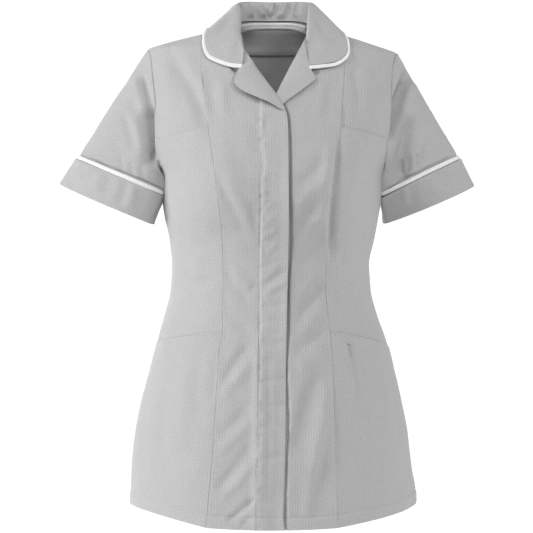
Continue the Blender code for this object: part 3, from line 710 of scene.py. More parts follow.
BACK_CREASES = (
    # height, half width, lean to one side, then X and height of the places the crease runs through
    (-2.7, 11, 0.2, ((-70, -96), (-50, -128), (-38, -165))),
    (1.8, 12, 0.0, ((-60, -84), (-34, -118), (-20, -160))),
    (-2.2, 10, -0.2, ((66, -90), (52, -130), (34, -172))),
    (1.5, 11, 0.0, ((38, -92), (28, -130), (14, -168))),
    (-2.0, 9, 0.3, ((-76, -232), (-48, -262), (-22, -284))),
    (2.0, 9, 0.0, ((-74, -254), (-46, -284), (-12, -302))),
    (-2.8, 8, 0.2, ((-68, -282), (-36, -314), (6, -328))),
    (1.8, 7, 0.0, ((-62, -306), (-32, -332), (0, -344))),
    (-2.1, 7, -0.3, ((-60, -336), (-30, -350), (8, -352))),
    (-2.7, 9, 0.0, ((74, -246), (44, -280), (16, -298))),
    (2.1, 8, 0.0, ((70, -272), (46, -300), (12, -318))),
    (-3.0, 8, 0.3, ((66, -304), (38, -326), (-6, -340))),
    (1.8, 8, 0.0, ((62, -330), (36, -348), (2, -360))),
    (-2.2, 9, 0.0, ((60, -362), (34, -376), (-10, -372))),
    (2.0, 10, 0.0, ((58, -384), (20, -396), (-30, -392))),
    (-2.1, 10, 0.0, ((-64, -386), (-32, -408), (8, -414))),
    (-3.3, 15, 0.2, ((-52, -440), (-58, -540), (-62, -650), (-60, -720))),
    (2.7, 17, 0.0, ((-30, -470), (-34, -580), (-32, -700))),
    (-3.0, 14, -0.2, ((-6, -450), (2, -560), (-2, -690))),
    (2.4, 14, 0.0, ((24, -470), (26, -590), (30, -710))),
    (-3.6, 13, 0.2, ((52, -430), (58, -540), (60, -650), (66, -724))),
    (2.1, 10, 0.0, ((76, -520), (80, -620), (84, -716))),
    (-2.4, 5, 0.4, ((40, -694), (56, -712), (78, -730))),
)
rows = rows_between(0, SHOULDER, marks=(HEM_DEPTH,))
shares = shares_of(180.0, 3.4)
x_from, _ = seam_line(rows, -1, "back")
x_to, _ = seam_line(rows, 1, "back")
base = middle_points(rows, shares, x_from, x_to, -1, "back")
left, right, low, top = distances(base)
nearest = np.minimum(left, right)
lift = uneven(base) + crease_lift(base, BACK_CREASES, on_face("back")) + puckers(base, nearest)
lift = lift * calm(base) * ease(top / SHOULDER_FADE) + rolled(top) + hem_lift(low)
lift += topstitched(left) + topstitched(right)
thick = hemmed(low)
body_panel("cloth_back_centre", base, lift, thick, from_middle)

SIDE_BACK_CREASES = {
    "right": (
        (-2.7, 9, 0.3, ((-150, -66), (-132, -104), (-112, -146))),
        (1.8, 10, 0.0, ((-162, -96), (-142, -138), (-118, -180))),
        (-2.4, 9, 0.0, ((-160, -176), (-132, -206), (-96, -232))),
        (-2.7, 8, 0.3, ((-150, -262), (-120, -286), (-84, -296))),
        (1.8, 8, 0.0, ((-148, -284), (-118, -308), (-82, -318))),
        (-2.4, 7, 0.0, ((-142, -322), (-112, -336), (-78, -336))),
        (-2.1, 8, 0.0, ((-140, -372), (-110, -384), (-80, -380))),
        (-2.7, 13, 0.2, ((-112, -452), (-122, -560), (-130, -690))),
        (2.4, 14, 0.0, ((-140, -480), (-152, -580), (-158, -700))),
        (-2.4, 12, -0.2, ((-170, -520), (-182, -610), (-186, -700))),
    ),
    "left": (
        (-2.5, 9, -0.3, ((158, -70), (138, -110), (116, -150))),
        (1.7, 10, 0.0, ((160, -108), (140, -144), (112, -176))),
        (-2.7, 10, 0.0, ((156, -190), (128, -218), (92, -240))),
        (1.8, 9, 0.0, ((152, -222), (122, -248), (90, -262))),
        (-2.2, 8, 0.2, ((148, -276), (116, -300), (82, -306))),
        (-2.8, 7, 0.3, ((142, -330), (112, -346), (76, -344))),
        (1.8, 8, 0.0, ((140, -352), (112, -366), (78, -364))),
        (-2.5, 12, 0.2, ((108, -470), (118, -580), (124, -700))),
        (2.2, 13, 0.0, ((134, -500), (146, -600), (150, -704))),
        (-2.2, 11, 0.0, ((164, -500), (176, -600), (180, -690))),
    ),
}
ARMHOLE_ROLL = 0.4  # the edge turns down less at the armhole than at the side seam
for side_name, side in SIDES:
    shares = shares_of(104.0, 3.4)
    base = side_points(rows, shares, side, "back")
    left, right, low, top = distances(base)
    creases = crease_lift(base, SIDE_BACK_CREASES[side_name], on_face("back"))
    lift = uneven(base) + creases + puckers(base, right)
    lift = lift * calm(base) * ease(top / SHOULDER_FADE) * ease((left + 4) / 22.0)
    seamed = np.where(rows < UNDERARM, 1.0, ARMHOLE_ROLL)[:, None]
    lift += seamed * rolled(left) + rolled(right) + rolled(top) + hem_lift(low)
    thick = hemmed(low)
    name = f"cloth_side_back_{side_name}"
    body_panel(name, base, lift, thick, from_own_middle)

# ---------------------------------------------------------------- side fronts
# Three panels a side: below the hip pocket, between the pockets, and above the chest pocket.
# At each pocket mouth the lower panel's top edge is turned in and lies over the panel above,
# from the princess seam to the side; a bar tack holds each end of the mouth.
POCKET_UNDERLAP = 14.0
# The left front princess seam lies at the bottom of a deep fold from the bust to the waist.
LEFT_BUST_ROUTE = ((100, -166), (97.5, -196), (93.5, -235), (89.5, -270), (87.5, -305), (86, -368))
LEFT_BUST_FOLD = (-8.0, 5.4, 0.0, LEFT_BUST_ROUTE)
MOUTH_LIFT = {"right": 1.2, "left": 1.9}
MOUTH_FADE = 40.0  # the depth below the mouth over which its lift fades
MOUTH_STITCHING = 1.6  # from the mouth's edge to its bar tacks
SIDE_FRONT_CREASES = {
    "upper_right": (
        (-4.6, 10, 0.3, ((-160, -34), (-146, -54), (-127, -84), (-109, -116), (-98, -156), (-96, -176))),
        (2.1, 12, 0.0, ((-164, -70), (-152, -100), (-140, -138))),
        (1.4, 7, 0.0, ((-113, -60), (-106, -84), (-101, -104))),
    ),
    "upper_left": (
        (-2.4, 10, 0.2, ((118, -62), (121, -96), (128, -136))),
        (-2.0, 4, 0.0, ((104, -128), (105, -146), (103, -176))),
        (1.8, 8, 0.0, ((112, -84), (115, -116), (112, -150))),
        (1.7, 11, 0.0, ((140, -70), (138, -104), (136, -140))),
        (-1.5, 8, 0.0, ((160, -84), (154, -116), (150, -150))),
    ),
    "middle_right": (
        (1.2, 12, 0.0, ((-124, -196), (-112, -226), (-96, -250))),
        (-1.2, 9, 0.0, ((-150, -238), (-132, -268), (-112, -290))),
        (-1.3, 7, 0.0, ((-146, -310), (-124, -330), (-96, -338))),
        (1.3, 8, 0.0, ((-146, -338), (-120, -352), (-86, -356))),
        (-1.3, 7, 0.0, ((-142, -376), (-112, -386), (-80, -383))),
        (1.2, 9, 0.0, ((-146, -398), (-118, -410), (-84, -408))),
    ),
    "middle_left": (
        LEFT_BUST_FOLD,
        (1.2, 9, 0.0, ((124, -200), (118, -240), (112, -286))),
        (-1.6, 4, 0.2, ((100, -308), (95, -326), (88, -344))),
        (-1.1, 5, 0.2, ((106, -328), (102, -350), (98, -368))),
        (-1.0, 8, 0.0, ((146, -300), (124, -318), (104, -330))),
        (-1.2, 9, 0.2, ((88, -412), (106, -434), (130, -450))),
        (0.9, 9, 0.0, ((92, -392), (116, -410), (142, -420))),
    ),
    "lower_right": (
        (-1.2, 6, 0.2, ((-82, -496), (-84, -530), (-86, -562))),
        (-1.3, 10, 0.0, ((-104, -486), (-107, -540), (-110, -606))),
        (1.2, 10, 0.0, ((-126, -500), (-130, -570), (-134, -650))),
        (-1.3, 9, 0.0, ((-150, -520), (-158, -590), (-160, -650))),
        (-1.4, 12, 0.0, ((-184, -560), (-190, -620), (-186, -680))),
        (1.0, 12, 0.0, ((-110, -640), (-118, -680), (-122, -712))),
    ),
    "lower_left": (
        (-4.0, 4.6, -0.2, ((104, -452), (109.5, -472), (113.5, -490), (117, -506), (124, -560))),
        (1.4, 6, 0.0, ((120, -470), (126, -494), (132, -524))),
        (-2.1, 8, 0.2, ((92, -560), (96, -619), (101, -676))),
        (-1.7, 9, 0.0, ((122, -528), (124, -580), (128, -630))),
        (1.7, 12, 0.0, ((160, -510), (168, -560), (172, -620))),
        (-1.6, 10, 0.0, ((146, -560), (152, -620), (160, -690))),
        (1.2, 10, 0.0, ((114, -610), (120, -660), (122, -708))),
    ),
}
CUTS = {
    # first row, last row, how far it reaches below its first row, flat width, length and area
    "lower": (0, HIP, 0.0, (0.178, 0.285), 0.0455),
    "middle": (HIP, CHEST, POCKET_UNDERLAP, (0.136, 0.345), 0.0420),
    "upper": (CHEST, SHOULDER, POCKET_UNDERLAP, (0.110, 0.190), 0.0162),
}
for side_name, side in SIDES:
    for part, (first, last, under, flat, area) in CUTS.items():
        marks = (HEM_DEPTH,) if part == "lower" else ()
        rows = rows_between(first, last, under=under, marks=marks)
        shares = shares_of(96.0, 3.2)
        base = side_points(rows, shares, side, "front")
        left, right, low, top = distances(base)
        creases = SIDE_FRONT_CREASES[f"{part}_{side_name}"]
        lift = uneven(base) + crease_lift(base, creases, on_face("front")) + puckers(base, right)
        lift = lift * calm(base)
        if part == "upper":
            lift = lift * ease(left / 14.0) * ease(top / SHOULDER_FADE) + rolled(top)
        else:
            # the mouth stands off most between its ends, and least at the princess seam
            mouth = MOUTH_LIFT[side_name] * (0.45 + 0.55 * ease(left / 70.0))
            mouth = mouth * (0.3 + 0.7 * ease(right / 16.0)) * (1 - ease((top - 3.0) / MOUTH_FADE))
            lift = lift * ease((left + 3) / 10.0) + mouth
            lift += 0.4 * swell(top, 1.4, 1.2) + rolled(top, 0.5, 0.8)
        thick = np.full(base.shape[:2], CLOTH_THICK)
        if part == "lower":
            lift += hem_lift(low)
            thick = hemmed(low)
        seamed = np.where(rows < UNDERARM, 1.0, ARMHOLE_ROLL)[:, None]
        lift += seamed * rolled(left) + rolled(right)
        name = f"cloth_side_front_{part}_{side_name}"
        body_panel(name, base, lift, thick, from_own_middle)

# ---------------------------------------------------------------- centre fronts
# Two centre fronts from the princess seams to the fly. The wearer's right one lies on top:
# its edge is turned under as a placket and stitched down in one row, and hides the closure.
# The fold pulls run from the princess seams down to the placket.
FRONT_EDGE = (
    # height, X of the edge of the front that lies on top, X of the one below it
    (-4, -62, 64),
    (-20, -54, 59),
    (-36, -47.5, 53),
    (-52, -38.5, 44),
    (-66, -29, 36),
    (-79, -20, 28),
    (-95, -8, 19),
    (-112, 5, 8.5),
    (-125, 13.5, 1),
    (-138, 19.5, -6),
    (-150, 22, -11),
    (-165, 23, -13.5),
    (-300, 24, -14.5),
    (-415, 21.5, -14.5),
    (-500, 20, -14.5),
    (-615, 19, -14.5),
    (-680, 17.5, -14.5),
    (-722, 16, -14.5),
    (-742, 17.5, -14.5),
)
PLACKET_RISE = 2.3
PLACKET_SPLIT = -430  # below this height the placket's inner edge shows softer and its seam deeper
PLACKET_DENT = (0.6, 1.9)  # the stitched line's depth above and below that height
EDGE_CURL = 14.0  # the width of the open edge that stands off the front below
# the front below falls back behind the open edge of the one above: from how far outside that
# edge, how deep and up to which height
UNDER_EDGE, UNDER_DEEP, UNDER_TOP = 5.6, 5.2, -134.0
OVERLAP_TOP, OVERLAP_FADE = -108.0, 25.0
WAIST_BELOW = -400  # the height at which the placket's close columns are set out
PLACKET_STITCHING = (
    # height, X of the row of stitches beside the placket
    (-148, -18.5),
    (-170, -17.0),
    (-198, -17.0),
    (-214, -12.8),
    (-241, -16.6),
    (-280, -17.2),
    (-346, -18.4),
    (-460, -19.0),
    (-563, -19.8),
    (-692, -20.8),
    (-742, -21.0),
)
placket_line = Curve(PLACKET_STITCHING, 1)
front_edge = {-1: Curve(FRONT_EDGE, 1), 1: Curve(FRONT_EDGE, 2)}
CENTRE_CREASES = {
    "right": (
        (1.3, 10, 0.0, ((-72, -90), (-69, -122), (-66, -150))),
        (-1.1, 8, 0.0, ((-88, -84), (-88, -116), (-84, -146))),
        (1.0, 8, 0.0, ((-34, -116), (-26, -138), (-22, -160))),
        (-1.2, 15, 0.0, ((-64, -172), (-52, -206), (-40, -240))),
        (-1.6, 8, 0.2, ((-73, -246), (-56, -282), (-36, -318))),
        (1.1, 8, 0.0, ((-66, -236), (-46, -270), (-28, -300))),
        (-1.1, 6, 0.0, ((-77, -226), (-72, -250), (-66, -272))),
        (-0.9, 6, 0.0, ((-34, -268), (-27, -292), (-22, -318))),
        (-1.5, 8, 0.2, ((-68, -362), (-54, -391), (-30, -416))),
        (1.1, 8, 0.0, ((-58, -362), (-42, -384), (-26, -400))),
        (-0.9, 5, 0.0, ((-34, -402), (-26, -392), (-21, -386))),
        (-1.0, 7, 0.0, ((-66, -430), (-50, -446), (-30, -456))),
        (-2.1, 9, -0.2, ((-32, -474), (-54, -503), (-70, -536))),
        (1.8, 9, 0.0, ((-26, -498), (-54, -528), (-77, -556))),
        (-1.6, 9, -0.2, ((-28, -560), (-54, -586), (-80, -612))),
        (1.6, 8, 0.0, ((-25, -584), (-54, -610), (-82, -638))),
        (-2.3, 10, -0.2, ((-25, -612), (-50, -648), (-84, -690))),
        (1.8, 8, 0.0, ((-24, -642), (-50, -673), (-80, -700))),
        (-2.8, 4.5, 0.2, ((-19, -694), (-39, -709), (-68, -733))),
        (1.4, 5, 0.0, ((-22, -710), (-38, -722), (-52, -735))),
        (-1.2, 4, 0.0, ((-34, -721), (-40, -730), (-46, -739))),
        # on the placket itself
        (-1.3, 4.5, 0.0, ((-20, -424), (-2, -420), (28, -418))),
        (-1.2, 4, 0.0, ((-20, -446), (0, -442), (28, -444))),
        (-1.4, 5, 0.0, ((-20, -474), (-2, -476), (28, -472))),
        (-1.3, 5, 0.0, ((-20, -500), (2, -498), (28, -501))),
        (-1.7, 6, 0.0, ((-22, -530), (2, -527), (28, -526))),
        (-1.6, 5.5, 0.0, ((-22, -562), (0, -565), (28, -560))),
        (-1.6, 5, 0.0, ((-22, -595), (2, -592), (28, -596))),
        (-1.8, 5, 0.0, ((-10, -640), (6, -636), (28, -636))),
        (-2.2, 14, 0.0, ((-24, -690), (0, -693), (28, -686))),
        (-1.4, 4.5, 0.0, ((-6, -470), (-5, -560), (-6, -650), (-6, -712))),
        (-1.4, 4, 0.0, ((-20, -396), (0, -382), (28, -364))),
        (1.2, 4, 0.0, ((-20, -408), (0, -397), (28, -382))),
        (0.8, 4, 0.0, ((-12, -286), (-4, -276), (6, -270))),
        (0.8, 4, 0.0, ((-12, -306), (-4, -296), (6, -290))),
        (0.8, 4, 0.0, ((-12, -328), (-3, -316), (8, -308))),
        (0.8, 4, 0.0, ((-12, -352), (-2, -338), (10, -328))),
        (0.9, 5, 0.0, ((-12, -388), (0, -370), (14, -358))),
        (0.8, 5, 0.0, ((-12, -412), (0, -398), (14, -388))),
        (-1.0, 4, 0.0, ((-8, -150), (-12, -162), (-10, -176))),
        (0.9, 4, 0.0, ((-14, -148), (-16, -164), (-12, -182))),
    ),
    "left": (
        (1.3, 9.5, 0.0, ((74, -84), (70, -116), (66, -146))),
        (-1.3, 9.5, 0.0, ((90, -96), (84, -126), (78, -156))),
        LEFT_BUST_FOLD,
        (2.2, 7.4, 0.2, ((84, -176), (80, -214), (74, -262), (71, -312))),
        (-2.0, 10.5, 0.0, ((84, -200), (56, -232), (32, -254))),
        (1.8, 10.5, 0.0, ((86, -226), (56, -256), (31, -280))),
        (-2.3, 10.5, 0.2, ((82, -258), (55, -289), (31, -320))),
        (1.8, 9.5, 0.0, ((80, -284), (55, -314), (34, -346))),
        (-1.7, 8.4, 0.0, ((76, -322), (54, -346), (32, -374))),
        (1.7, 9.5, 0.0, ((75, -364), (52, -390), (30, -412))),
        (-3.1, 9.5, 0.2, ((79, -384), (56, -416), (35, -444))),
        (2.3, 10.5, 0.0, ((77, -416), (60, -441), (36, -466))),
        (-2.5, 9.5, 0.2, ((80, -456), (55, -474), (30, -490))),
        (1.7, 10.5, 0.0, ((79, -488), (56, -499), (33, -510))),
        (-4.7, 13.5, -0.15, ((72, -506), (56, -543), (45, -585), (33, -640))),
        (2.8, 12.6, 0.0, ((81, -520), (76, -572), (69, -615), (54, -672))),
        (-2.5, 11.6, 0.0, ((80, -606), (76, -655), (68, -696))),
        (-4.0, 16, -0.4, ((80, -634), (67, -688), (60, -738))),
        (-1.3, 13, -0.3, ((44, -664), (40, -702), (38, -736))),
    ),
}
NOTCH_DIPS = {  # the front falls back a little below the notch between the collar and each lapel
    "right": ((-6.0, 3.2, 0.0, ((-62, -74), (-52, -78), (-46, -81), (-40, -84))),),
    "left": ((-6.0, 2.6, 0.0, ((50, -77), (57, -79), (64, -80), (72, -80))),),
}
for side_name, side in SIDES:
    rows = rows_between(0, SHOULDER, marks=(HEM_DEPTH,))
    _, _, middle_z, rise = lines_at(rows, side)
    x_from, _ = seam_line(rows, side, "front")
    edge = front_edge[side]
    x_to, _ = meet(edge, middle_z, rise, "front", edge(middle_z))
    shares = shares_of(112.0, 2.2)
    if side < 0:  # columns close together where the placket is stitched
        stitched = (placket_line(middle_z) - x_from) / (x_to - x_from)
        share_line = float(np.interp(WAIST_BELOW, middle_z[rise == 0], stitched[rise == 0]))
        shares = shares_of(112.0, 3.0, marks=(share_line * 112.0, share_line * 112.0 + 3.0))
    base = middle_points(rows, shares, x_from, x_to, side, "front")
    left, right, low, top = distances(base)
    lift = uneven(base) + puckers(base, left)
    lift += crease_lift(base, CENTRE_CREASES[side_name], on_face("front"))
    lift = lift * calm(base) * ease(top / SHOULDER_FADE) + topstitched(left) + rolled(top) + hem_lift(low)
    lift += crease_lift(base, NOTCH_DIPS[side_name], on_face("front"))
    thick = hemmed(low)
    x, z = base[..., 0], base[..., 2]
    if side < 0:
        lapped = 1 - ease((z - OVERLAP_TOP) / OVERLAP_FADE)
        beside = x - placket_line(z)
        low_down = ease((PLACKET_SPLIT - z) / 90)
        early = ease((beside + 13.0) / 12.0) - 1.3 * ease(beside / 40.0)
        step_up = PLACKET_RISE * mix(ease((beside - 0.4) / 3.0), early, low_down)
        seam_dent = mix(*PLACKET_DENT, low_down) * (1 - ease((z + 146) / 12))
        dent = -seam_dent * swell(beside, 0.0, 0.9)
        stand = 1.3 + 0.9 * np.sin(z / 37.0) * np.sin(z / 91.0 + 1.0) - 0.6 * swell(z, -268, 16.0)
        open_edge = stand * ease(1 - right / EDGE_CURL) * lapped * ease((-112 - z) / 30)
        lift += step_up * lapped + dent + open_edge + rolled(right, 0.7, 1.0)
        lift += puckers(base, np.abs(beside - 3.0), 1.4, 7.0) * ease((beside + 4.0) / 4.0)
        thick = thick + (TURNED_THICK - CLOTH_THICK) * ease((beside - 1.0) / 1.5)
    else:
        wander = 1.6 * np.sin(z / 29.0) * np.sin(z / 71.0)
        seen_edge = front_edge[-1](z) + UNDER_EDGE + wander
        # the last columns go down under the front that lies on top
        under_it = ease((seen_edge - x) / 4.0) * (1 - ease((z - UNDER_TOP) / OVERLAP_FADE))
        lift = mix(lift, np.minimum(lift, 0.0) - UNDER_DEEP, under_it) + rolled(right, 0.3, 0.9)
    name = f"cloth_front_centre_{side_name}"
    body_panel(name, base, lift, thick, from_middle)

# ---------------------------------------------------------------- sleeves
# Short set-in sleeves of the same cloth, stripes along the arm. Each is one piece, seamed
# under the arm, eased into the armhole below the body's edge and covered by its cuff below.
ARMHOLE_GAP, SHOULDER_GAP = 0.8, 1.4
SLEEVE_TUCK = ((3.2, 2.5), (1.6, 2.4), (0.3, 1.9), (-0.5, 1.2))  # under the body's edge, and how deep
SLEEVE_DIP = 5.0
SLEEVE_INTO_CUFF = 0.22
# the sleeve dips along the upper edge of its piping: how deep, how far above its own lower end
# inside the cuff, and half the dip's width
ABOVE_PIPING, PIPING_EDGE, PIPING_DIP = 2.4, 18.7, 1.6
# how far the front and back corners beside the body are drawn toward it, at the cuff's top, at
# its bottom and halfway down the sleeve, and where they lie, in radians from the underarm
CUFF_CORNER, SLEEVE_CORNER = (7.0, 0.0), 10.0
CORNER_AT, CORNER_WIDTH = 0.4, 0.22
BACK_LEAN = 0.9  # how much less the cuff's back hangs back than its front
CUFFS = {
    # X and height of the outer and inner ends of the top and bottom edges, how far the bottom edge
    # sags, how far the inner end hangs back, how round the cuff is (1 is an oval), half its depth
    # and how much shallower the outer end of its front is, each at the top and at the bottom
    "right": dict(
        outer=((-292.5, -203), (-317, -240.5)),
        inner=((-165.5, -257), (-180.5, -299.5)),
        sag=2.5,
        lean=(12.0, 28.0),
        roundness=(0.36, 0.44),
        half_depth=(44.0, 50.0),
        taper=(0.4, 0.7),
    ),
    "left": dict(
        outer=((280, -204), (301, -243.5)),
        inner=((166.5, -258), (172.5, -297)),
        sag=4.0,
        lean=(14.0, 60.0),
        roundness=(0.52, 0.95),
        half_depth=(46.0, 44.0),
        taper=(0.2, 0.2),
    ),
}
SLEEVE_CREASES = {
    # the side it is seen from, height, half width, lean, then X and height of places along it
    "right": (
        ("front", -8.0, 7, 0.2, ((-200, -60), (-188, -102), (-178, -140), (-173, -176), (-172, -226))),
        ("front", -2.0, 9, 0.2, ((-206, -108), (-196, -143), (-186, -180))),
        ("front", 1.4, 9, 0.0, ((-204, -80), (-199, -112), (-190, -150))),
        ("front", -12.0, 12, 0.0, ((-186, -122), (-181, -158), (-178, -190), (-178, -224))),
        ("front", -2.2, 8, 0.0, ((-222, -128), (-212, -160), (-200, -196))),
        ("front", -1.2, 4, 0.0, ((-226, -200), (-222, -212), (-220, -224))),
        ("front", -1.1, 4, 0.0, ((-210, -208), (-207, -219), (-206, -230))),
        ("front", -1.2, 5, 0.0, ((-194, -212), (-192, -226), (-192, -238))),
        ("back", -5.0, 8, 0.2, ((-192, -70), (-188, -106), (-180, -150))),
        ("back", 2.7, 10, 0.0, ((-208, -84), (-202, -124), (-192, -170))),
        ("back", -3.2, 9, 0.0, ((-226, -110), (-214, -150), (-204, -196))),
        ("back", -2.3, 6, 0.0, ((-250, -150), (-244, -176), (-238, -200))),
    ),
    "left": (
        ("front", -17.0, 9, -0.1, ((210, -60), (198, -88), (186, -120), (177, -152), (173, -186))),
        ("front", 3.1, 10, 0.0, ((214, -104), (206, -134), (194, -166))),
        ("front", -13.0, 15, 0.1, ((205, -134), (198, -170), (192, -204), (190, -250))),
        ("front", -2.5, 4, 0.0, ((193, -204), (192, -218), (190, -230))),
        ("front", -2.9, 4, 0.0, ((204, -200), (203, -214), (202, -228))),
        ("front", -2.7, 4, 0.0, ((215, -196), (215, -208), (214, -220))),
        ("front", -2.0, 4, 0.0, ((226, -190), (225, -202), (226, -212))),
        ("back", -5.4, 8, -0.2, ((196, -74), (190, -112), (182, -156))),
        ("back", 2.5, 10, 0.0, ((210, -92), (203, -130), (194, -174))),
        ("back", -3.1, 9, 0.0, ((224, -124), (214, -160), (206, -200))),
        ("back", -2.2, 5, 0.0, ((240, -160), (238, -180), (236, -198))),
    ),
}


def armhole_loop(side):
    """The armhole seam, from the underarm up the front to the shoulder and down the back."""
    rows = rows_between(UNDERARM, SHOULDER, 2.6)
    front = side_points(rows, np.array([0.0, 1.0]), side, "front")[:, 0]
    back = side_points(rows, np.array([0.0, 1.0]), side, "back")[:, 0]
    return np.concatenate([front, back[-2::-1]]), len(rows) - 1


def turns_of(loop, top):
    """How far round each place is: 0 at the underarm, half a turn at the shoulder."""
    run = run_along(loop)
    front = run[: top + 1] / run[top] * 0.5
    back = 0.5 + (run[top + 1 :] - run[top]) / (run[-1] - run[top]) * 0.5
    return np.concatenate([front, back]) * 2 * math.pi


def corner_at(turns):
    """1 at the front and back corners beside the body, 0 elsewhere round the arm."""
    return swell(np.minimum(turns, 2 * math.pi - turns), CORNER_AT, CORNER_WIDTH)


def cuff_loop(side_name, turns, share):
    """A level ring round the cuff: share 0 is its top, 1 its opening."""
    cuff = CUFFS[side_name]
    outer, inner = (mix(*np.array(cuff[end], float), share) for end in ("outer", "inner"))
    half_depth = mix(*cuff["half_depth"], share)
    flat = (outer + inner) / 2 + (inner - outer) / 2 * np.cos(turns)[:, None]
    bow = np.sign(np.sin(turns)) * np.abs(np.sin(turns)) ** mix(*cuff["roundness"], share)
    lean = mix(*cuff["lean"], share) * ((1 + np.cos(turns)) / 2) ** 2
    lean = lean * (1 + BACK_LEAN * np.minimum(bow, 0.0))
    y = lean - half_depth * bow * (1 + mix(*cuff["taper"], share) * np.cos(turns) * (bow > 0))
    flat = flat + unit(inner - outer) * (mix(*CUFF_CORNER, share) * corner_at(turns))[:, None]
    z = flat[:, 1] - cuff["sag"] * share * np.abs(np.sin(turns))
    return np.stack([flat[:, 0], y, z], axis=-1)


def flat_route(route):
    """A crease's line, given by X and height, laid flat on the XZ plane."""
    return np.stack([route[:, 0], np.zeros(len(route)), route[:, 1]], axis=-1)


def turned_toward(way, aim):
    """Directions, all turned round where they point against their aim on the whole."""
    return way * np.sign((way * aim).sum())


def seen_creases(points, creases):
    """Creases of a tube, placed as seen from the front or the back."""
    total = np.zeros(points.shape[:2])
    for face in ("front", "back"):
        mine = [row[1:] for row in creases if row[0] == face]
        flat = points * np.array((1.0, 0.0, 1.0))
        facing = -points[..., 1] if face == "front" else points[..., 1]
        total += crease_lift(flat, mine, flat_route) * ease(facing / 12.0)
    return total


armhole_loops = {}
for side_name, side in SIDES:
    seam, top_index = armhole_loop(side)
    turns = turns_of(seam, top_index)
    forward = np.gradient(np.concatenate([seam[-2:-1], seam, seam[1:2]]), axis=0)[1:-1]
    out = outward(seam)
    inward = unit(np.cross(forward, out))
    inward = inward * -side * np.sign(inward[top_index, 0])
    tucked = [seam + inward * reach - out * deep for reach, deep in SLEEVE_TUCK]
    loop = seam + [side, 0.0, 0.0] * mix(ARMHOLE_GAP, SHOULDER_GAP, (1 - np.cos(turns)) / 2)[:, None]
    cuff_top = cuff_loop(side_name, turns, 0.0)
    armhole_loops[side_name] = (turns, loop)
    run = np.linalg.norm(cuff_top - loop, axis=1)
    down = shares_of(170.0, 3.2, start=(1.2, 2.4), end=(0.0,))
    dip = np.sin(math.pi * np.minimum(down / 0.4, 1.0))[:, None] * np.sin(turns)[None, :] * SLEEVE_DIP
    base = mix(loop[None], cuff_top[None], down[:, None, None])
    base[..., 1] += dip * (run / run.max())[None, :] ** 2
    base[..., 0] -= side * SLEEVE_CORNER * np.sin(math.pi * down)[:, None] * corner_at(turns)[None, :]
    covered = [cuff_loop(side_name, turns, SLEEVE_INTO_CUFF * k / 3) for k in (1, 2, 3)]
    base = np.concatenate([np.array(tucked), base, np.array(covered)])
    way = turned_toward(grid_normals(base), base - base.mean(axis=1, keepdims=True))
    first, last, top, low = distances(base)
    seam = np.minimum(first, last)
    top = np.maximum(top - 4.5, 0.0)
    # creases and waves fade under the arm, at the armhole seam and inside the cuff
    room = ease((run[None, :] - 12) / 40.0) * ease(top / 2.6) * ease((low - 8) / 12.0)
    lift = (uneven(base) + seen_creases(base, SLEEVE_CREASES[side_name])) * room
    lift += puckers(base, top, 0.5, 10.0) * ease(top / 4.0) * ease((run[None, :] - 20) / 60.0)
    lift += puckers(base, np.maximum(low - 11, 0), 0.45, 12.0) * ease((low - 9) / 5.0)
    lift -= ABOVE_PIPING * swell(low, PIPING_EDGE, PIPING_DIP)
    outer = base + way * lift[..., None]
    across, _, along, _ = distances(outer)
    zero = across[:, top_index][:, None]
    made = sheet_mesh(f"cloth_sleeve_{side_name}", outer, CLOTH_THICK, across - zero, along, way)
    declare(made, striped_cloth)

# ---------------------------------------------------------------- cuffs
# Straight bands of doubled cloth, stripes along the arm, folded at the lower edge. A folded
# white strip is caught in each cuff's top seam and lies upward on the sleeve.
# how far the cuff stands above its form, the least that a crease leaves of it, and its thickness
CUFF_RISE, CUFF_LOWEST, CUFF_THICK = 2.4, 1.4, 1.2
PIPING_WIDTH, PIPING_THICK, PIPING_CLEAR = 6.0, 2.2, 0.45
LAY_GAP = 0.5
CUFF_CREASES = {
    "right": (
        ("front", 1.2, 8, 0.0, ((-256, -216), (-258, -236), (-262, -254))),
        ("front", -1.3, 7, 0.0, ((-238, -222), (-242, -246), (-250, -262))),
        ("front", -1.4, 7, 0.0, ((-214, -234), (-218, -254), (-228, -276))),
        ("front", 1.3, 7, 0.0, ((-204, -236), (-208, -262), (-214, -280))),
        ("front", -1.7, 6, 0.0, ((-192, -244), (-194, -266), (-200, -286))),
        ("back", -1.4, 8, 0.0, ((-226, -228), (-232, -250), (-238, -268))),
        ("back", 1.2, 8, 0.0, ((-206, -238), (-210, -258), (-218, -278))),
    ),
    "left": (
        ("front", -1.3, 7, 0.0, ((246, -214), (250, -232), (258, -250))),
        ("front", 1.3, 7, 0.0, ((228, -220), (234, -242), (240, -260))),
        ("front", -1.8, 6, 0.0, ((206, -232), (208, -254), (214, -272))),
        ("front", 1.6, 6, 0.0, ((196, -238), (198, -260), (200, -278))),
        ("back", -1.6, 8, 0.0, ((220, -226), (224, -246), (230, -266))),
        ("back", 1.3, 8, 0.0, ((240, -216), (244, -238), (250, -254))),
    ),
}
WHITE = (0.86, 0.86, 0.86, 1.0)
WHITE_SHADE = (0.78, 0.78, 0.78, 1.0)
white_strip = woven("white_piping", WHITE, WHITE_SHADE, pitch=1.1, sheen=0.1, bump=0.5)
ROUND_STRIP = 14
STRIP_SIDES, STRIP_FACES = 0.75, 0.62  # how round its narrow sides and its broad faces are


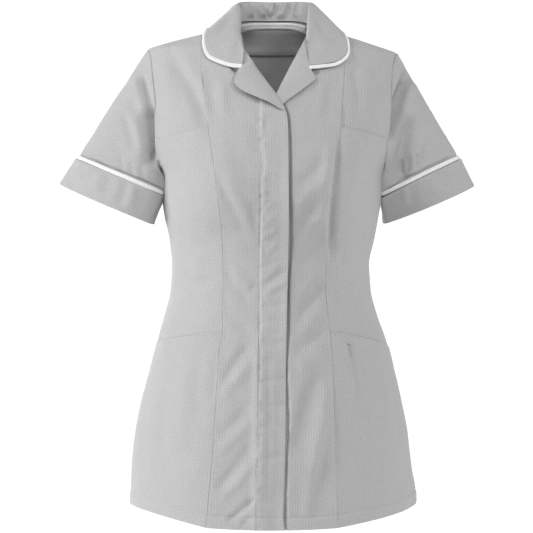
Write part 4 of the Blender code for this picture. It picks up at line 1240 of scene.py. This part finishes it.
def strip_mesh(name, centre, wide, thick, half_width_at_each, half_thick, closed):
    """A folded strip with rounded sides, laid along a line."""
    turn = np.arange(ROUND_STRIP) / ROUND_STRIP * 2 * math.pi
    c, s = np.cos(turn), np.sin(turn)
    side_way = np.sign(c) * np.abs(c) ** STRIP_SIDES
    up_way = np.sign(s) * np.abs(s) ** STRIP_FACES
    half = np.broadcast_to(np.asarray(half_width_at_each, float), (len(centre),))
    ring = centre[:, None] + wide[:, None] * (half[:, None] * side_way)[..., None]
    ring = ring + thick[:, None] * (half_thick * up_way)[None, :, None]
    index = np.arange(ring.shape[0] * ROUND_STRIP).reshape(ring.shape[0], ROUND_STRIP)
    if closed:
        a, d = index, np.roll(index, -1, axis=0)
    else:
        a, d = index[:-1], index[1:]
    faces = np.stack([a, np.roll(a, -1, axis=1), np.roll(d, -1, axis=1), d], axis=-1)
    faces = faces.reshape(-1, 4).tolist()
    if not closed:
        faces += [index[0][::-1].tolist(), index[-1].tolist()]
    normal = np.cross(np.roll(ring, -1, axis=1) - ring, np.gradient(ring, axis=0))
    if float((normal * (ring - centre[:, None])).sum()) < 0:
        faces = [face[::-1] for face in faces]
    run = run_along(centre)[:, None]
    own = np.stack(np.broadcast_arrays(run, half[:, None] * side_way, up_way[None, :]), axis=-1)
    made = in_scene(name, ring.reshape(-1, 3), faces, own)
    made.data.shade_smooth()
    made.data.materials.append(white_strip)
    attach(made, "root")
    return made


def at_run(wanted, run, values):
    """Places or directions of a line at a distance along it."""
    return np.stack([np.interp(wanted, run, values[:, i]) for i in range(3)], axis=-1)


for side_name, _ in SIDES:
    turns = np.linspace(0, 2 * math.pi, 150)
    band = shares_of(52.0, 2.8)
    base = np.array([cuff_loop(side_name, turns, share) for share in band])
    way = turned_toward(grid_normals(base), base - base.mean(axis=1, keepdims=True))
    _, _, top, low = distances(base)
    lift = CUFF_RISE + 0.7 * uneven(base) + seen_creases(base, CUFF_CREASES[side_name]) * ease(top / 9.0)
    lift += puckers(base, top, 0.35, 9.0) + rolled(top, 0.4, 0.6) + rolled(low, 0.6, 0.9)
    lift += 0.25 * swell(low, 2.0, 1.6)
    lift = np.maximum(lift, CUFF_LOWEST)
    lift[:, -1] = lift[:, 0]
    outer = base + way * lift[..., None]
    across, _, along, _ = distances(outer)
    zero = across[:, len(turns) // 2][:, None]
    made = sheet_mesh(f"cloth_cuff_{side_name}", outer, CUFF_THICK, across - zero, along, way)
    declare(made, striped_cloth)

    turns = np.linspace(0, 2 * math.pi, 220, endpoint=False)
    ring = cuff_loop(side_name, turns, 0.0)
    above = at_run(turns, *armhole_loops[side_name])
    up = unit(above - ring)
    around = unit(np.roll(ring, -1, axis=0) - np.roll(ring, 1, axis=0))
    thick = np.cross(around, up)
    thick = unit(turned_toward(thick, ring - ring.mean(axis=0)))
    wave = np.array([noise.noise(Vector(p) / 21.0) for p in ring.tolist()])
    middle = ring + up * (PIPING_CLEAR + PIPING_WIDTH / 2 + 0.3 * wave[:, None])
    middle = middle + thick * (LAY_GAP + PIPING_THICK / 2 + 0.25 * wave[:, None])
    half = PIPING_WIDTH / 2 + 0.15 * wave
    made = strip_mesh(f"piping_cuff_{side_name}", middle, up, thick, half, PIPING_THICK / 2, True)
    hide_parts(f"cuff_piping_{side_name}")

# ---------------------------------------------------------------- back neck, inside
# A facing of the same cloth with its stripes across lies inside the back below the neck seam,
# its lower edge turned and stitched. A bias binding covers the neck seam above it.
FACING_BOTTOM, FACING_HALF_WIDTH = -37.0, 54.0
FACING_IN, FACING_TURNED, FACING_SAG = -2.3, 0.5, 1.1
FACING_FLAT, FACING_THICK = (0.124, 0.049), 0.7
facing_cloth = woven("facing_cloth", STRIPE_PALE, STRIPE_GREY)
x = np.linspace(-FACING_HALF_WIDTH, FACING_HALF_WIDTH, 60)
down = shares_of(46.0, 2.2)
top_z = neck_back(x) - 1.0
z = mix(top_z[None, :], FACING_BOTTOM, down[:, None])
base = on_body(np.broadcast_to(x, z.shape), z, "back")
way = outward(base)
_, _, top, low = distances(base)
turned = 1 - ease(low - 6.0)
sag = FACING_SAG * uneven(base) * ease(low / 10) * ease(top / 10)
inward = FACING_IN - FACING_TURNED * turned - np.abs(sag)
outer = base + way * inward[..., None]
across, _, along, _ = distances(outer)
made = sheet_mesh("cloth_back_neck_facing", outer, FACING_THICK, along, across, way)
declare(made, facing_cloth)

BINDING_DEEP, BINDING_THICK, BINDING_FLAT = 8.6, 0.8, (0.124, 0.012)
BINDING_PALE, BINDING_SHADE = (0.88, 0.88, 0.88, 1.0), (0.72, 0.72, 0.72, 1.0)
down = shares_of(BINDING_DEEP, 0.8, start=(0.0,), end=(0.0,))
z = top_z[None, :] - BINDING_DEEP * down[:, None]
base = on_body(np.broadcast_to(x, z.shape), z, "back")
way = outward(base)
crown = (np.sin(math.pi * down) ** 0.5 - 0.5 * swell(down, 0.5, 0.16))[:, None]
flat = base.reshape(-1, 3)[:, ::2].tolist()
ripple = np.array([noise.noise(Vector((right / 5.5, 0.0, up / 9.0))) for right, up in flat])
ripple = ripple.reshape(base.shape[:2])
inward = FACING_IN - 1.1 - 1.6 * crown - 0.8 * ripple * crown
outer = base + way * inward[..., None]
across, _, along, _ = distances(outer)
binding_cloth = woven("binding_cloth", BINDING_PALE, BINDING_SHADE, pitch=2.9)
made = sheet_mesh("cloth_neck_binding", outer, BINDING_THICK, across + along, along, way)
declare(made, binding_cloth)

# ---------------------------------------------------------------- collar
# A revere collar cut in one with its stand, of two layers of the cloth with interlining, its
# stripes along the roll. It is sewn to the neck seam, stands up behind the neck and falls over
# the shoulders. A folded white strip is caught in its outer edge.
COLLAR = (
    # roll line X right, X left, depth right, depth left, height right, height left,
    # outer edge X right, X left, height right, height left, share of the neck seam
    (-41, 50.5, -70, -62, -47, -29, -44, 54.5, -75.5, -77, 0.0),
    (-43.5, 51.5, -62, -51, -34, -13, -60, 73, -73.5, -75, 0.11),
    (-45.5, 53, -50, -37, -19, 2, -79, 98, -67, -69, 0.2),
    (-46, 54, -34, -20, -4, 15, -95.5, 112, -57, -56, 0.29),
    (-46.5, 55, -15, -3, 11, 24, -102, 113.5, -40, -39, 0.37),
    (-48, 57.5, 3, 12, 24, 30, -101.5, 108, -22, -22, 0.45),
    (-51, 60.5, 20, 25, 32.5, 34.5, -95.5, 101, -14, -15, 0.56),
    (-47, 54, 45, 46, 38, 38, -88, 92, -17, -17, 0.67),
    (-33, 40, 61, 61, 40.8, 40.8, -64, 70, -18, -18, 0.78),
    (-15, 22, 70, 70, 41.4, 41.4, -34, 40, -16, -16, 0.89),
)
COLLAR_MIDDLE = (4, 72, 41.5, 4, -15)
NECK_SEAM_START = (-46, -30)
COLLAR_THICK, COLLAR_FOLD, COLLAR_SEAM, COLLAR_ABOVE = 1.6, 1.7, 1.3, 3.6
SHOULDER_SHARE = 0.45  # where the neck seam passes the shoulder


def neck_seam(side, share):
    """A place on the neck seam, from the collar's front end (0) to the middle of the back (1)."""
    if share <= SHOULDER_SHARE:
        z = mix(NECK_SEAM_START[0 if side < 0 else 1], NECK_SIDE_HEIGHT, share / SHOULDER_SHARE)
        p = on_body(front_edge[side](z), z, "front")
        p[1] *= ease(min(1.0, (SHOULDER_SHARE - share) / 0.12)) ** 0.5
        return p
    x = side * NECK_HALF_WIDTH * math.cos((share - SHOULDER_SHARE) / (1 - SHOULDER_SHARE) * math.pi / 2)
    return on_body(x, neck_back(x), "back")


def collar_stations():
    """Neck seam, roll and outer edge at each place round the collar."""
    halves = []
    for side, column in ((-1, 0), (1, 1)):
        half = []
        for row in COLLAR:
            roll = np.array((row[column], row[2 + column], row[4 + column]), float)
            face = "front" if row[10] < 0.5 else "back"
            edge = on_body(row[6 + column], row[8 + column], face)
            half.append((neck_seam(side, row[10]), roll, edge))
        halves.append(half)
    x, y, z, edge_x, edge_z = COLLAR_MIDDLE
    edge = on_body(edge_x, edge_z, "back")
    middle = (on_body(0.0, neck_back(0.0), "back"), np.array((x, y, z), float), edge)
    return halves[0] + [middle] + halves[1][::-1]


cloth_lines = []
trim_lines = []
for seam, roll, edge in collar_stations():
    edge = edge + outward(edge) * COLLAR_ABOVE
    down = unit(mix(seam, edge, 0.5) - roll)
    face = unit(edge - roll)
    out = unit(np.cross(np.cross(face, outward(edge)), face))
    stand = unit(seam - roll)
    reach = np.linalg.norm(seam - roll)
    fold = min(3.0, reach * 0.35)
    start = roll + stand * (reach - COLLAR_SEAM)
    inner = roll + down * fold - out * COLLAR_FOLD
    outer = roll + down * fold + out * COLLAR_FOLD
    turn_in = edge - face * (PIPING_WIDTH + 0.4)
    line = [start, mix(start, inner, 0.5), inner, roll, outer]
    if roll[1] < 0:
        line[:3] = [clear_of_body(p, COLLAR_THICK / 2 + LAY_GAP) for p in line[:3]]
    for t, puff in ((0.33, 1.4), (0.66, 1.2)):
        line.append(clear_of_body(mix(outer, turn_in, t) + out * puff, COLLAR_ABOVE + 0.6))
    line.append(clear_of_body(turn_in, COLLAR_ABOVE))
    cloth_lines.append(line)
    trim_lines.append([turn_in + face * 0.4, edge - face * PIPING_WIDTH / 2, edge])
COLLAR_STATIONS, STAND_ROWS, FALL_ROWS, TRIM_STATIONS = 190, 17, 30, 300
around = through(np.array(cloth_lines), COLLAR_STATIONS)
inside = through(around[:, :4].transpose(1, 0, 2), STAND_ROWS)
fall = through(around[:, 3:].transpose(1, 0, 2), FALL_ROWS)
middle = np.concatenate([inside, fall[1:]]).transpose(1, 0, 2)
way = grid_normals(middle)
way = way * np.sign((way[:, -1] * outward(middle[:, -1])).sum())
COLLAR_CREASES = (
    # height, half width, then how far round (0 right end, 1 left end) and how far down the fall,
    # from and to
    (-1.3, 0.020, 0.09, 0.30, 0.12, 0.85),
    (1.0, 0.018, 0.055, 0.25, 0.085, 0.8),
    (-1.0, 0.016, 0.17, 0.35, 0.20, 0.9),
    (0.9, 0.020, 0.80, 0.30, 0.83, 0.9),
    (-1.2, 0.020, 0.90, 0.25, 0.88, 0.85),
    (0.9, 0.016, 0.94, 0.3, 0.93, 0.8),
    (-1.2, 0.022, 0.38, 0.2, 0.36, 0.9),
    (-1.0, 0.020, 0.60, 0.2, 0.63, 0.9),
)
STAND_CREASES = (
    # the soft folds pressed into the stand behind the neck: height, half width toward the right
    # end and the left end, then how far round and how far up, from and to
    (7.5, 0.024, 0.008, 0.368, 0.93, 0.425, 0.15),
    (-1.6, 0.010, 0.012, 0.388, 0.93, 0.470, 0.10),
    (9.0, 0.026, 0.007, 0.430, 0.93, 0.486, 0.12),
    (-1.6, 0.008, 0.012, 0.462, 0.85, 0.503, 0.10),
    (7.5, 0.018, 0.008, 0.512, 0.95, 0.510, 0.25),
    (-1.2, 0.010, 0.014, 0.540, 0.93, 0.514, 0.05),
    (9.0, 0.034, 0.010, 0.584, 0.93, 0.560, 0.08),
    (5.5, 0.012, 0.006, 0.632, 0.95, 0.626, 0.15),
)
station = np.linspace(0, 1, COLLAR_STATIONS)[:, None]
down_fall = np.concatenate([np.zeros(STAND_ROWS), np.linspace(0, 1, FALL_ROWS)[1:]])[None, :]
up_stand = np.concatenate([np.linspace(0, 1, STAND_ROWS), np.ones(FALL_ROWS - 1)])[None, :]
on_fall = np.arange(middle.shape[1])[None, :] >= STAND_ROWS
puff = np.zeros(middle.shape[:2])
folds = [(row[0], (row[1], row[1]), *row[2:], down_fall, on_fall) for row in COLLAR_CREASES]
folds += [(row[0], row[1:3], *row[3:], up_stand, ~on_fall) for row in STAND_CREASES]
for height, wide, s0, d0, s1, d1, place, where in folds:
    line = mix(s0, s1, np.clip((place - d0) / (d1 - d0), 0.0, 1.0))
    low_end, high_end = min(d0, d1), max(d0, d1)
    ends = ease((place - low_end + 0.05) / 0.2) * ease((high_end + 0.05 - place) / 0.2)
    puff += height * swell(station, line, np.where(station < line, *wide)) * ends * where
puff += 0.5 * uneven(middle) * np.where(on_fall, ease(down_fall / 0.2), ease((1 - up_stand) / 0.2) * 0.6)
edge_run = distances(middle)[1]
outer = middle + way * (COLLAR_THICK / 2 + puff + rolled(edge_run, 0.5, 1.4))[..., None]
across, _, along, _ = distances(outer)
across = across - across[:, STAND_ROWS - 1][:, None]
made = sheet_mesh("cloth_collar", outer, COLLAR_THICK, across, along, way)
declare(made, striped_cloth)

trim = through(np.array(trim_lines), TRIM_STATIONS)
round_it = np.linspace(0, 1, TRIM_STATIONS)
wide = unit(trim[:, 2] - trim[:, 0])
length_way = unit(np.gradient(trim[:, 1], axis=0))
thick_way = turned_toward(unit(np.cross(length_way, wide)), outward(trim[:, 1]))
wave = np.array([noise.noise(Vector(p) / 17.0) for p in trim[:, 1].tolist()])
follow = np.interp(round_it, station[:, 0], puff[:, -1])
fuller = 0.8 * (1 - ease((round_it - 0.30) / 0.08))  # wider toward the right end
centre = trim[:, 1] + thick_way * (follow + 0.2 * wave)[:, None] - wide * fuller[:, None]
half = PIPING_WIDTH / 2 + 0.12 * wave + fuller
made = strip_mesh("piping_collar", centre, wide, thick_way, half, PIPING_THICK / 2, False)
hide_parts("collar_piping")

# ---------------------------------------------------------------- lapels
# Each front is turned back over itself from the top of the fly to the gorge seam, faced with
# the same cloth. The fold is soft, and the free edge stands off the chest.
LAPELS = {
    # roll line X, height, outer edge X, height
    "right": (
        (-40.5, -45, -43, -50),
        (-37.5, -50, -44.5, -61),
        (-33.5, -56, -45.5, -71),
        (-28, -64.5, -50.5, -83),
        (-18.5, -79, -53.5, -99.5),
        (-10.5, -90, -45, -109),
        (-2.5, -101, -26, -119.5),
        (6, -112.5, -3, -129.5),
        (13.5, -125, 12, -137.5),
        (18, -133.5, 17.5, -139.5),
    ),
    "left": (
        (49, -27, 52, -32),
        (44, -37.5, 53.5, -45),
        (38, -49, 54.5, -60),
        (32.5, -60, 55.5, -73),
        (27, -70, 60, -84),
        (23, -78, 63, -91),
        (18, -88, 52.5, -101),
        (12.5, -99, 36.5, -113.5),
        (7.5, -109.5, 22, -124),
        (3, -118, 12, -132),
    ),
}
LAPEL_SECTION = {
    # share of the way across, height above the body
    "right": ((0.0, 1.0), (0.05, 3.4), (0.2, 6.2), (0.45, 8.2), (0.75, 9.0), (1.0, 9.0)),
    "left": ((0.0, 0.6), (0.05, 2.0), (0.2, 3.2), (0.45, 3.8), (0.75, 4.0), (1.0, 3.9)),
}
GORGE_DEEP, GORGE_FADE = 34.0, 14.0  # how far down the collar's end holds each lapel flat
LAPEL_LOWEST, LAPEL_HELD, LAPEL_THICK = 0.9, 1.3, 1.1
BEHIND = ((5.0, -2.0), (2.0, -2.1), (0.6, -1.5), (-0.1, -0.3))  # past the fold, and how deep
for side_name, _ in SIDES:
    table = np.array(LAPELS[side_name], float)
    ends = through(table.reshape(-1, 2, 2), 90)
    across_share = shares_of(34.0, 1.3)
    section = np.array(LAPEL_SECTION[side_name])
    height = Curve(section, 1)(across_share)
    flat = mix(ends[:, None, 0], ends[:, None, 1], across_share[None, :, None])
    base = on_body(flat[..., 0], flat[..., 1], "front")
    way = outward(base)
    size = np.linalg.norm(ends[:, 1] - ends[:, 0], axis=1)[:, None]
    down = run_along(ends[:, 1])[:, None]
    held = 1 - ease((down - GORGE_DEEP + GORGE_FADE - 8.0 * (1 - across_share[None, :])) / GORGE_FADE)
    full = ease(size / 26.0)
    station = np.linspace(0, 1, len(ends))[:, None]
    flutter = 0.9 * np.sin(station * 9.0 + 1.0) * across_share[None, :] ** 2
    if side_name == "left":
        flutter *= 0.2
        full = full * (1 - 0.6 * ease((station - 0.8) / 0.2))
    lift = LAPEL_LOWEST + (height[None, :] - LAPEL_LOWEST) * (0.35 + 0.65 * full) + flutter * full
    first, last, _, _ = distances(base)
    lift += 0.35 * uneven(base) * ease(first / 6.0) + rolled(last, 0.5, 0.9)
    lift = mix(np.maximum(lift, LAPEL_LOWEST + 0.4 * across_share[None, :]), LAPEL_HELD, held)
    outer = base + way * lift[..., None]
    behind = []  # the fold goes on inside, behind the front's edge
    toward = unit(ends[:, 1] - ends[:, 0])
    for back, inward in BEHIND:
        place = ends[:, 0] + toward * np.minimum(back, 0.8 * size)
        p = on_body(place[:, 0], place[:, 1], "front")
        behind.append(p + outward(p) * inward)
    outer = np.concatenate([np.stack(behind, axis=1), outer], axis=1)
    way = grid_normals(outer)
    way = way * np.sign((way[:, -8:] * outward(outer[:, -8:])).sum())
    across, _, along, _ = distances(outer)
    slanted = along * 0.92 + across * 0.39
    made = sheet_mesh(f"cloth_lapel_{side_name}", outer, LAPEL_THICK, slanted, across, way)
    declare(made, striped_cloth)

# ---------------------------------------------------------------- stitching
# Rows of pale thread: round the hem, beside the placket, along the princess seams and the
# facing's edge, with bar tacks at the ends of the pocket mouths and on the placket.
STITCH, STITCH_GAP, THREAD, THREAD_SUNK = 2.3, 0.9, 0.28, 0.25
FACING_STITCHING = 5.2  # from the facing's lower edge
THREAD_PALE, THREAD_SHADE = (0.62, 0.62, 0.62, 1.0), (0.54, 0.54, 0.54, 1.0)
thread = woven("pale_thread", THREAD_PALE, THREAD_SHADE, pitch=0.9)


def inset(name, edge, distance):
    """A line at a distance from one edge of a panel."""
    outer, normal = panels[name]
    first, last, low, top = distances(outer)
    run = {"first": first, "last": -last, "low": low, "top": -top}[edge]
    wanted = distance if edge in ("first", "low") else -distance
    line, ways = [], []
    if edge in ("first", "last"):
        pairs = [(run[k], outer[k], normal[k]) for k in range(len(outer))]
    else:
        pairs = [(run[:, k], outer[:, k], normal[:, k]) for k in range(outer.shape[1])]
    for where, points, out in pairs:
        line.append(at_run(wanted, where, points))
        ways.append(at_run(wanted, where, out))
    return np.array(line), unit(np.array(ways))


def stitch_points(line, ways):
    """Centres, directions and normals of the stitches along a line."""
    run = run_along(line)
    at = np.arange(STITCH, run[-1] - STITCH, STITCH + STITCH_GAP)
    centre = at_run(at, run, line)
    return centre, unit(at_run(at + 0.5, run, line) - centre), unit(at_run(at, run, ways))


def sew(name, stitches, length=STITCH, thick=THREAD, raised=0.12):
    """Thread laid in short pieces, each pointed at both ends where it goes into the cloth."""
    points, faces = [], []
    for centre, ahead, out in stitches:
        beside = np.cross(ahead, out)
        for c, a, b, o in zip(centre, ahead, beside, out):
            start = len(points)
            c = c + o * raised
            points += [c - a * length / 2 - o * THREAD_SUNK]
            points += [c + b * thick, c + o * thick, c - b * thick, c - o * thick]
            points += [c + a * length / 2 - o * THREAD_SUNK]
            for k in range(4):
                faces.append((start, start + 1 + (k + 1) % 4, start + 1 + k))
                faces.append((start + 5, start + 1 + k, start + 1 + (k + 1) % 4))
    made = in_scene(name, np.array(points), faces, np.array(points))
    made.data.materials.append(thread)
    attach(made, "root")
    return made


hem_panels = ["cloth_back_centre", "cloth_front_centre_right", "cloth_front_centre_left"]
for part in ("back", "front_lower"):
    hem_panels += [f"cloth_side_{part}_{side_name}" for side_name, _ in SIDES]
sew("stitching_hem", [stitch_points(*inset(name, "low", HEM_DEPTH)) for name in hem_panels])
PRINCESS_EDGES = (
    ("cloth_front_centre_right", "first"),
    ("cloth_front_centre_left", "first"),
    ("cloth_back_centre", "first"),
    ("cloth_back_centre", "last"),
)
seams = [stitch_points(*inset(name, edge, EDGE_STITCHING)) for name, edge in PRINCESS_EDGES]
sew("stitching_princess_seams", seams)

outer, normal = panels["cloth_front_centre_right"]
line, ways = [], []
for k in range(len(outer)):
    z = float(np.interp(-18.0, outer[k, :, 0], outer[k, :, 2]))
    if z > PLACKET_STITCHING[0][0]:
        continue
    wanted = float(placket_line(z))
    line.append(at_run(wanted, outer[k, :, 0], outer[k]))
    ways.append(at_run(wanted, outer[k, :, 0], normal[k]))
line, ways = np.array(line), unit(np.array(ways))
sew("stitching_placket", [stitch_points(line, ways)])
facing_row = stitch_points(*inset("cloth_back_neck_facing", "low", FACING_STITCHING))
sew("stitching_facing", [facing_row], raised=-0.8)


def bar_tack(centre, along, out, length, rows):
    """A short dense row of stitches across a seam's end."""
    beside = unit(np.cross(along, out))
    at = np.linspace(-length / 2, length / 2, rows)
    spots = centre[None] + along[None] * at[:, None]
    return spots, np.repeat(beside[None], rows, axis=0), np.repeat(out[None], rows, axis=0)


TACK_INSETS = {
    # panel, how far the tacks lie from the princess seam and from the side
    "lower": (9.0, 26.0),
    "middle": (8.0, 5.0),
}
PLACKET_TACKS = (-635.0, -695.0, -716.0)
MOUTH_TACK, PLACKET_TACK = (6.0, 7), (7.0, 8)  # length and number of stitches
tacks = []
for side_name, _ in SIDES:
    for part, (near, far) in TACK_INSETS.items():
        name = f"cloth_side_front_{part}_{side_name}"
        line, ways = inset(name, "top", MOUTH_STITCHING)
        run = run_along(line)
        for wanted in (far, run[-1] - near):
            centre = at_run(wanted, run, line)
            ahead = unit(at_run(wanted + 1, run, line) - centre)
            tacks.append(bar_tack(centre, ahead, unit(at_run(wanted, run, ways)), *MOUTH_TACK))
outer, normal = panels["cloth_front_centre_right"]
for tack_z in PLACKET_TACKS:
    k = int(np.argmin(np.abs(outer[:, outer.shape[1] // 2, 2] - tack_z)))
    wanted = float(placket_line(tack_z))
    centre = at_run(wanted, outer[k, :, 0], outer[k])
    out = unit(at_run(wanted, outer[k, :, 0], normal[k]))
    tacks.append(bar_tack(centre, np.array((0.0, 0.0, 1.0)), out, *PLACKET_TACK))
sew("stitching_bar_tacks", tacks, length=2.0, thick=0.42)

# ---------------------------------------------------------------- studio
# A plain white floor below the tunic, a little white light from all round and soft lamps,
# the strongest from the left of the front, and two behind for the back.
CAMERA_AT = (-0.00825, -3.0, -0.36375)  # in metres, as are the lamps and the floor
LENS, SENSOR = 135.08, 36.0
FLOOR_HEIGHT, FLOOR_RADIUS, FLOOR_SIDES = -1.05, 1.9, 72
WHITE_LIGHT, FLOOR_PAINT, FLOOR_GLOW = (1.0, 1.0, 1.0, 1.0), (0.92, 0.92, 0.92, 1.0), 0.15
WORLD_LIGHT, BACKGROUND = 0.12, 1.12
TUNIC_MIDDLE = Vector((0.0, 0.0, -0.36))
LAMP_DISTANCE, LAMP_SIZE = 3.0, 1.2
LAMPS = (
    # name, degrees round from the front to the left, degrees up, watts
    ("low_left", 80, 0, 43.0),
    ("high_left", 60, 35, 39.0),
    ("low_right", -95, 0, 23.0),
    ("high_right", -40, 35, 30.0),
    ("high_front", 0, 40, 21.0),
    ("back_left", 150, 20, 44.0),
    ("back_right", -150, 20, 14.0),
)

turns = np.linspace(0, 2 * math.pi, FLOOR_SIDES, endpoint=False)
level = np.full(FLOOR_SIDES, FLOOR_HEIGHT)
rim = np.stack([FLOOR_RADIUS * np.cos(turns), FLOOR_RADIUS * np.sin(turns), level], axis=-1)
floor_mesh = bpy.data.meshes.new("floor")
floor_mesh.from_pydata(rim.tolist(), [], [list(range(FLOOR_SIDES))])
floor = bpy.data.objects.new("floor", floor_mesh)
bpy.context.scene.collection.objects.link(floor)
paint = bpy.data.materials.new("studio_white")
paint.use_nodes = True
coat = paint.node_tree.nodes["Principled BSDF"]
coat.inputs["Base Color"].default_value = FLOOR_PAINT
coat.inputs["Roughness"].default_value = 0.9
coat.inputs["Emission Color"].default_value = WHITE_LIGHT
coat.inputs["Emission Strength"].default_value = FLOOR_GLOW
floor_mesh.materials.append(paint)

world = bpy.data.worlds.new("studio_light")
bpy.context.scene.world = world
world.use_nodes = True
sky = Dye(world.node_tree, None)
ground = world.node_tree.nodes["Background"]
ground.inputs["Color"].default_value = WHITE_LIGHT
ground.inputs["Strength"].default_value = WORLD_LIGHT
seen = sky.node("ShaderNodeBackground", (), {"Color": WHITE_LIGHT, "Strength": BACKGROUND})
by_eye = sky.out(sky.node("ShaderNodeLightPath"), "Is Camera Ray")
both = sky.node("ShaderNodeMixShader", (), {0: by_eye, 1: sky.out(ground), 2: sky.out(seen)})
world.node_tree.links.new(both.outputs[0], world.node_tree.nodes["World Output"].inputs["Surface"])

for name, round_it, up, watts in LAMPS:
    light = bpy.data.lights.new(f"lamp_{name}", "AREA")
    light.shape = "DISK"
    light.size = LAMP_SIZE
    light.energy = watts
    lamp = bpy.data.objects.new(f"lamp_{name}", light)
    a, e = math.radians(round_it), math.radians(up)
    toward = Vector((-math.sin(a) * math.cos(e), -math.cos(a) * math.cos(e), math.sin(e)))
    lamp.location = TUNIC_MIDDLE + LAMP_DISTANCE * toward
    lamp.rotation_euler = (-toward).to_track_quat("-Z", "Y").to_euler()
    bpy.context.scene.collection.objects.link(lamp)

camera_data = bpy.data.cameras.new("camera")
camera_data.lens = LENS
camera_data.sensor_width = SENSOR
camera = bpy.data.objects.new("camera", camera_data)
camera.location = CAMERA_AT
camera.rotation_euler = (math.pi / 2, 0.0, 0.0)
bpy.context.scene.collection.objects.link(camera)
bpy.context.scene.camera = camera
bpy.context.scene.view_settings.view_transform = "Standard"
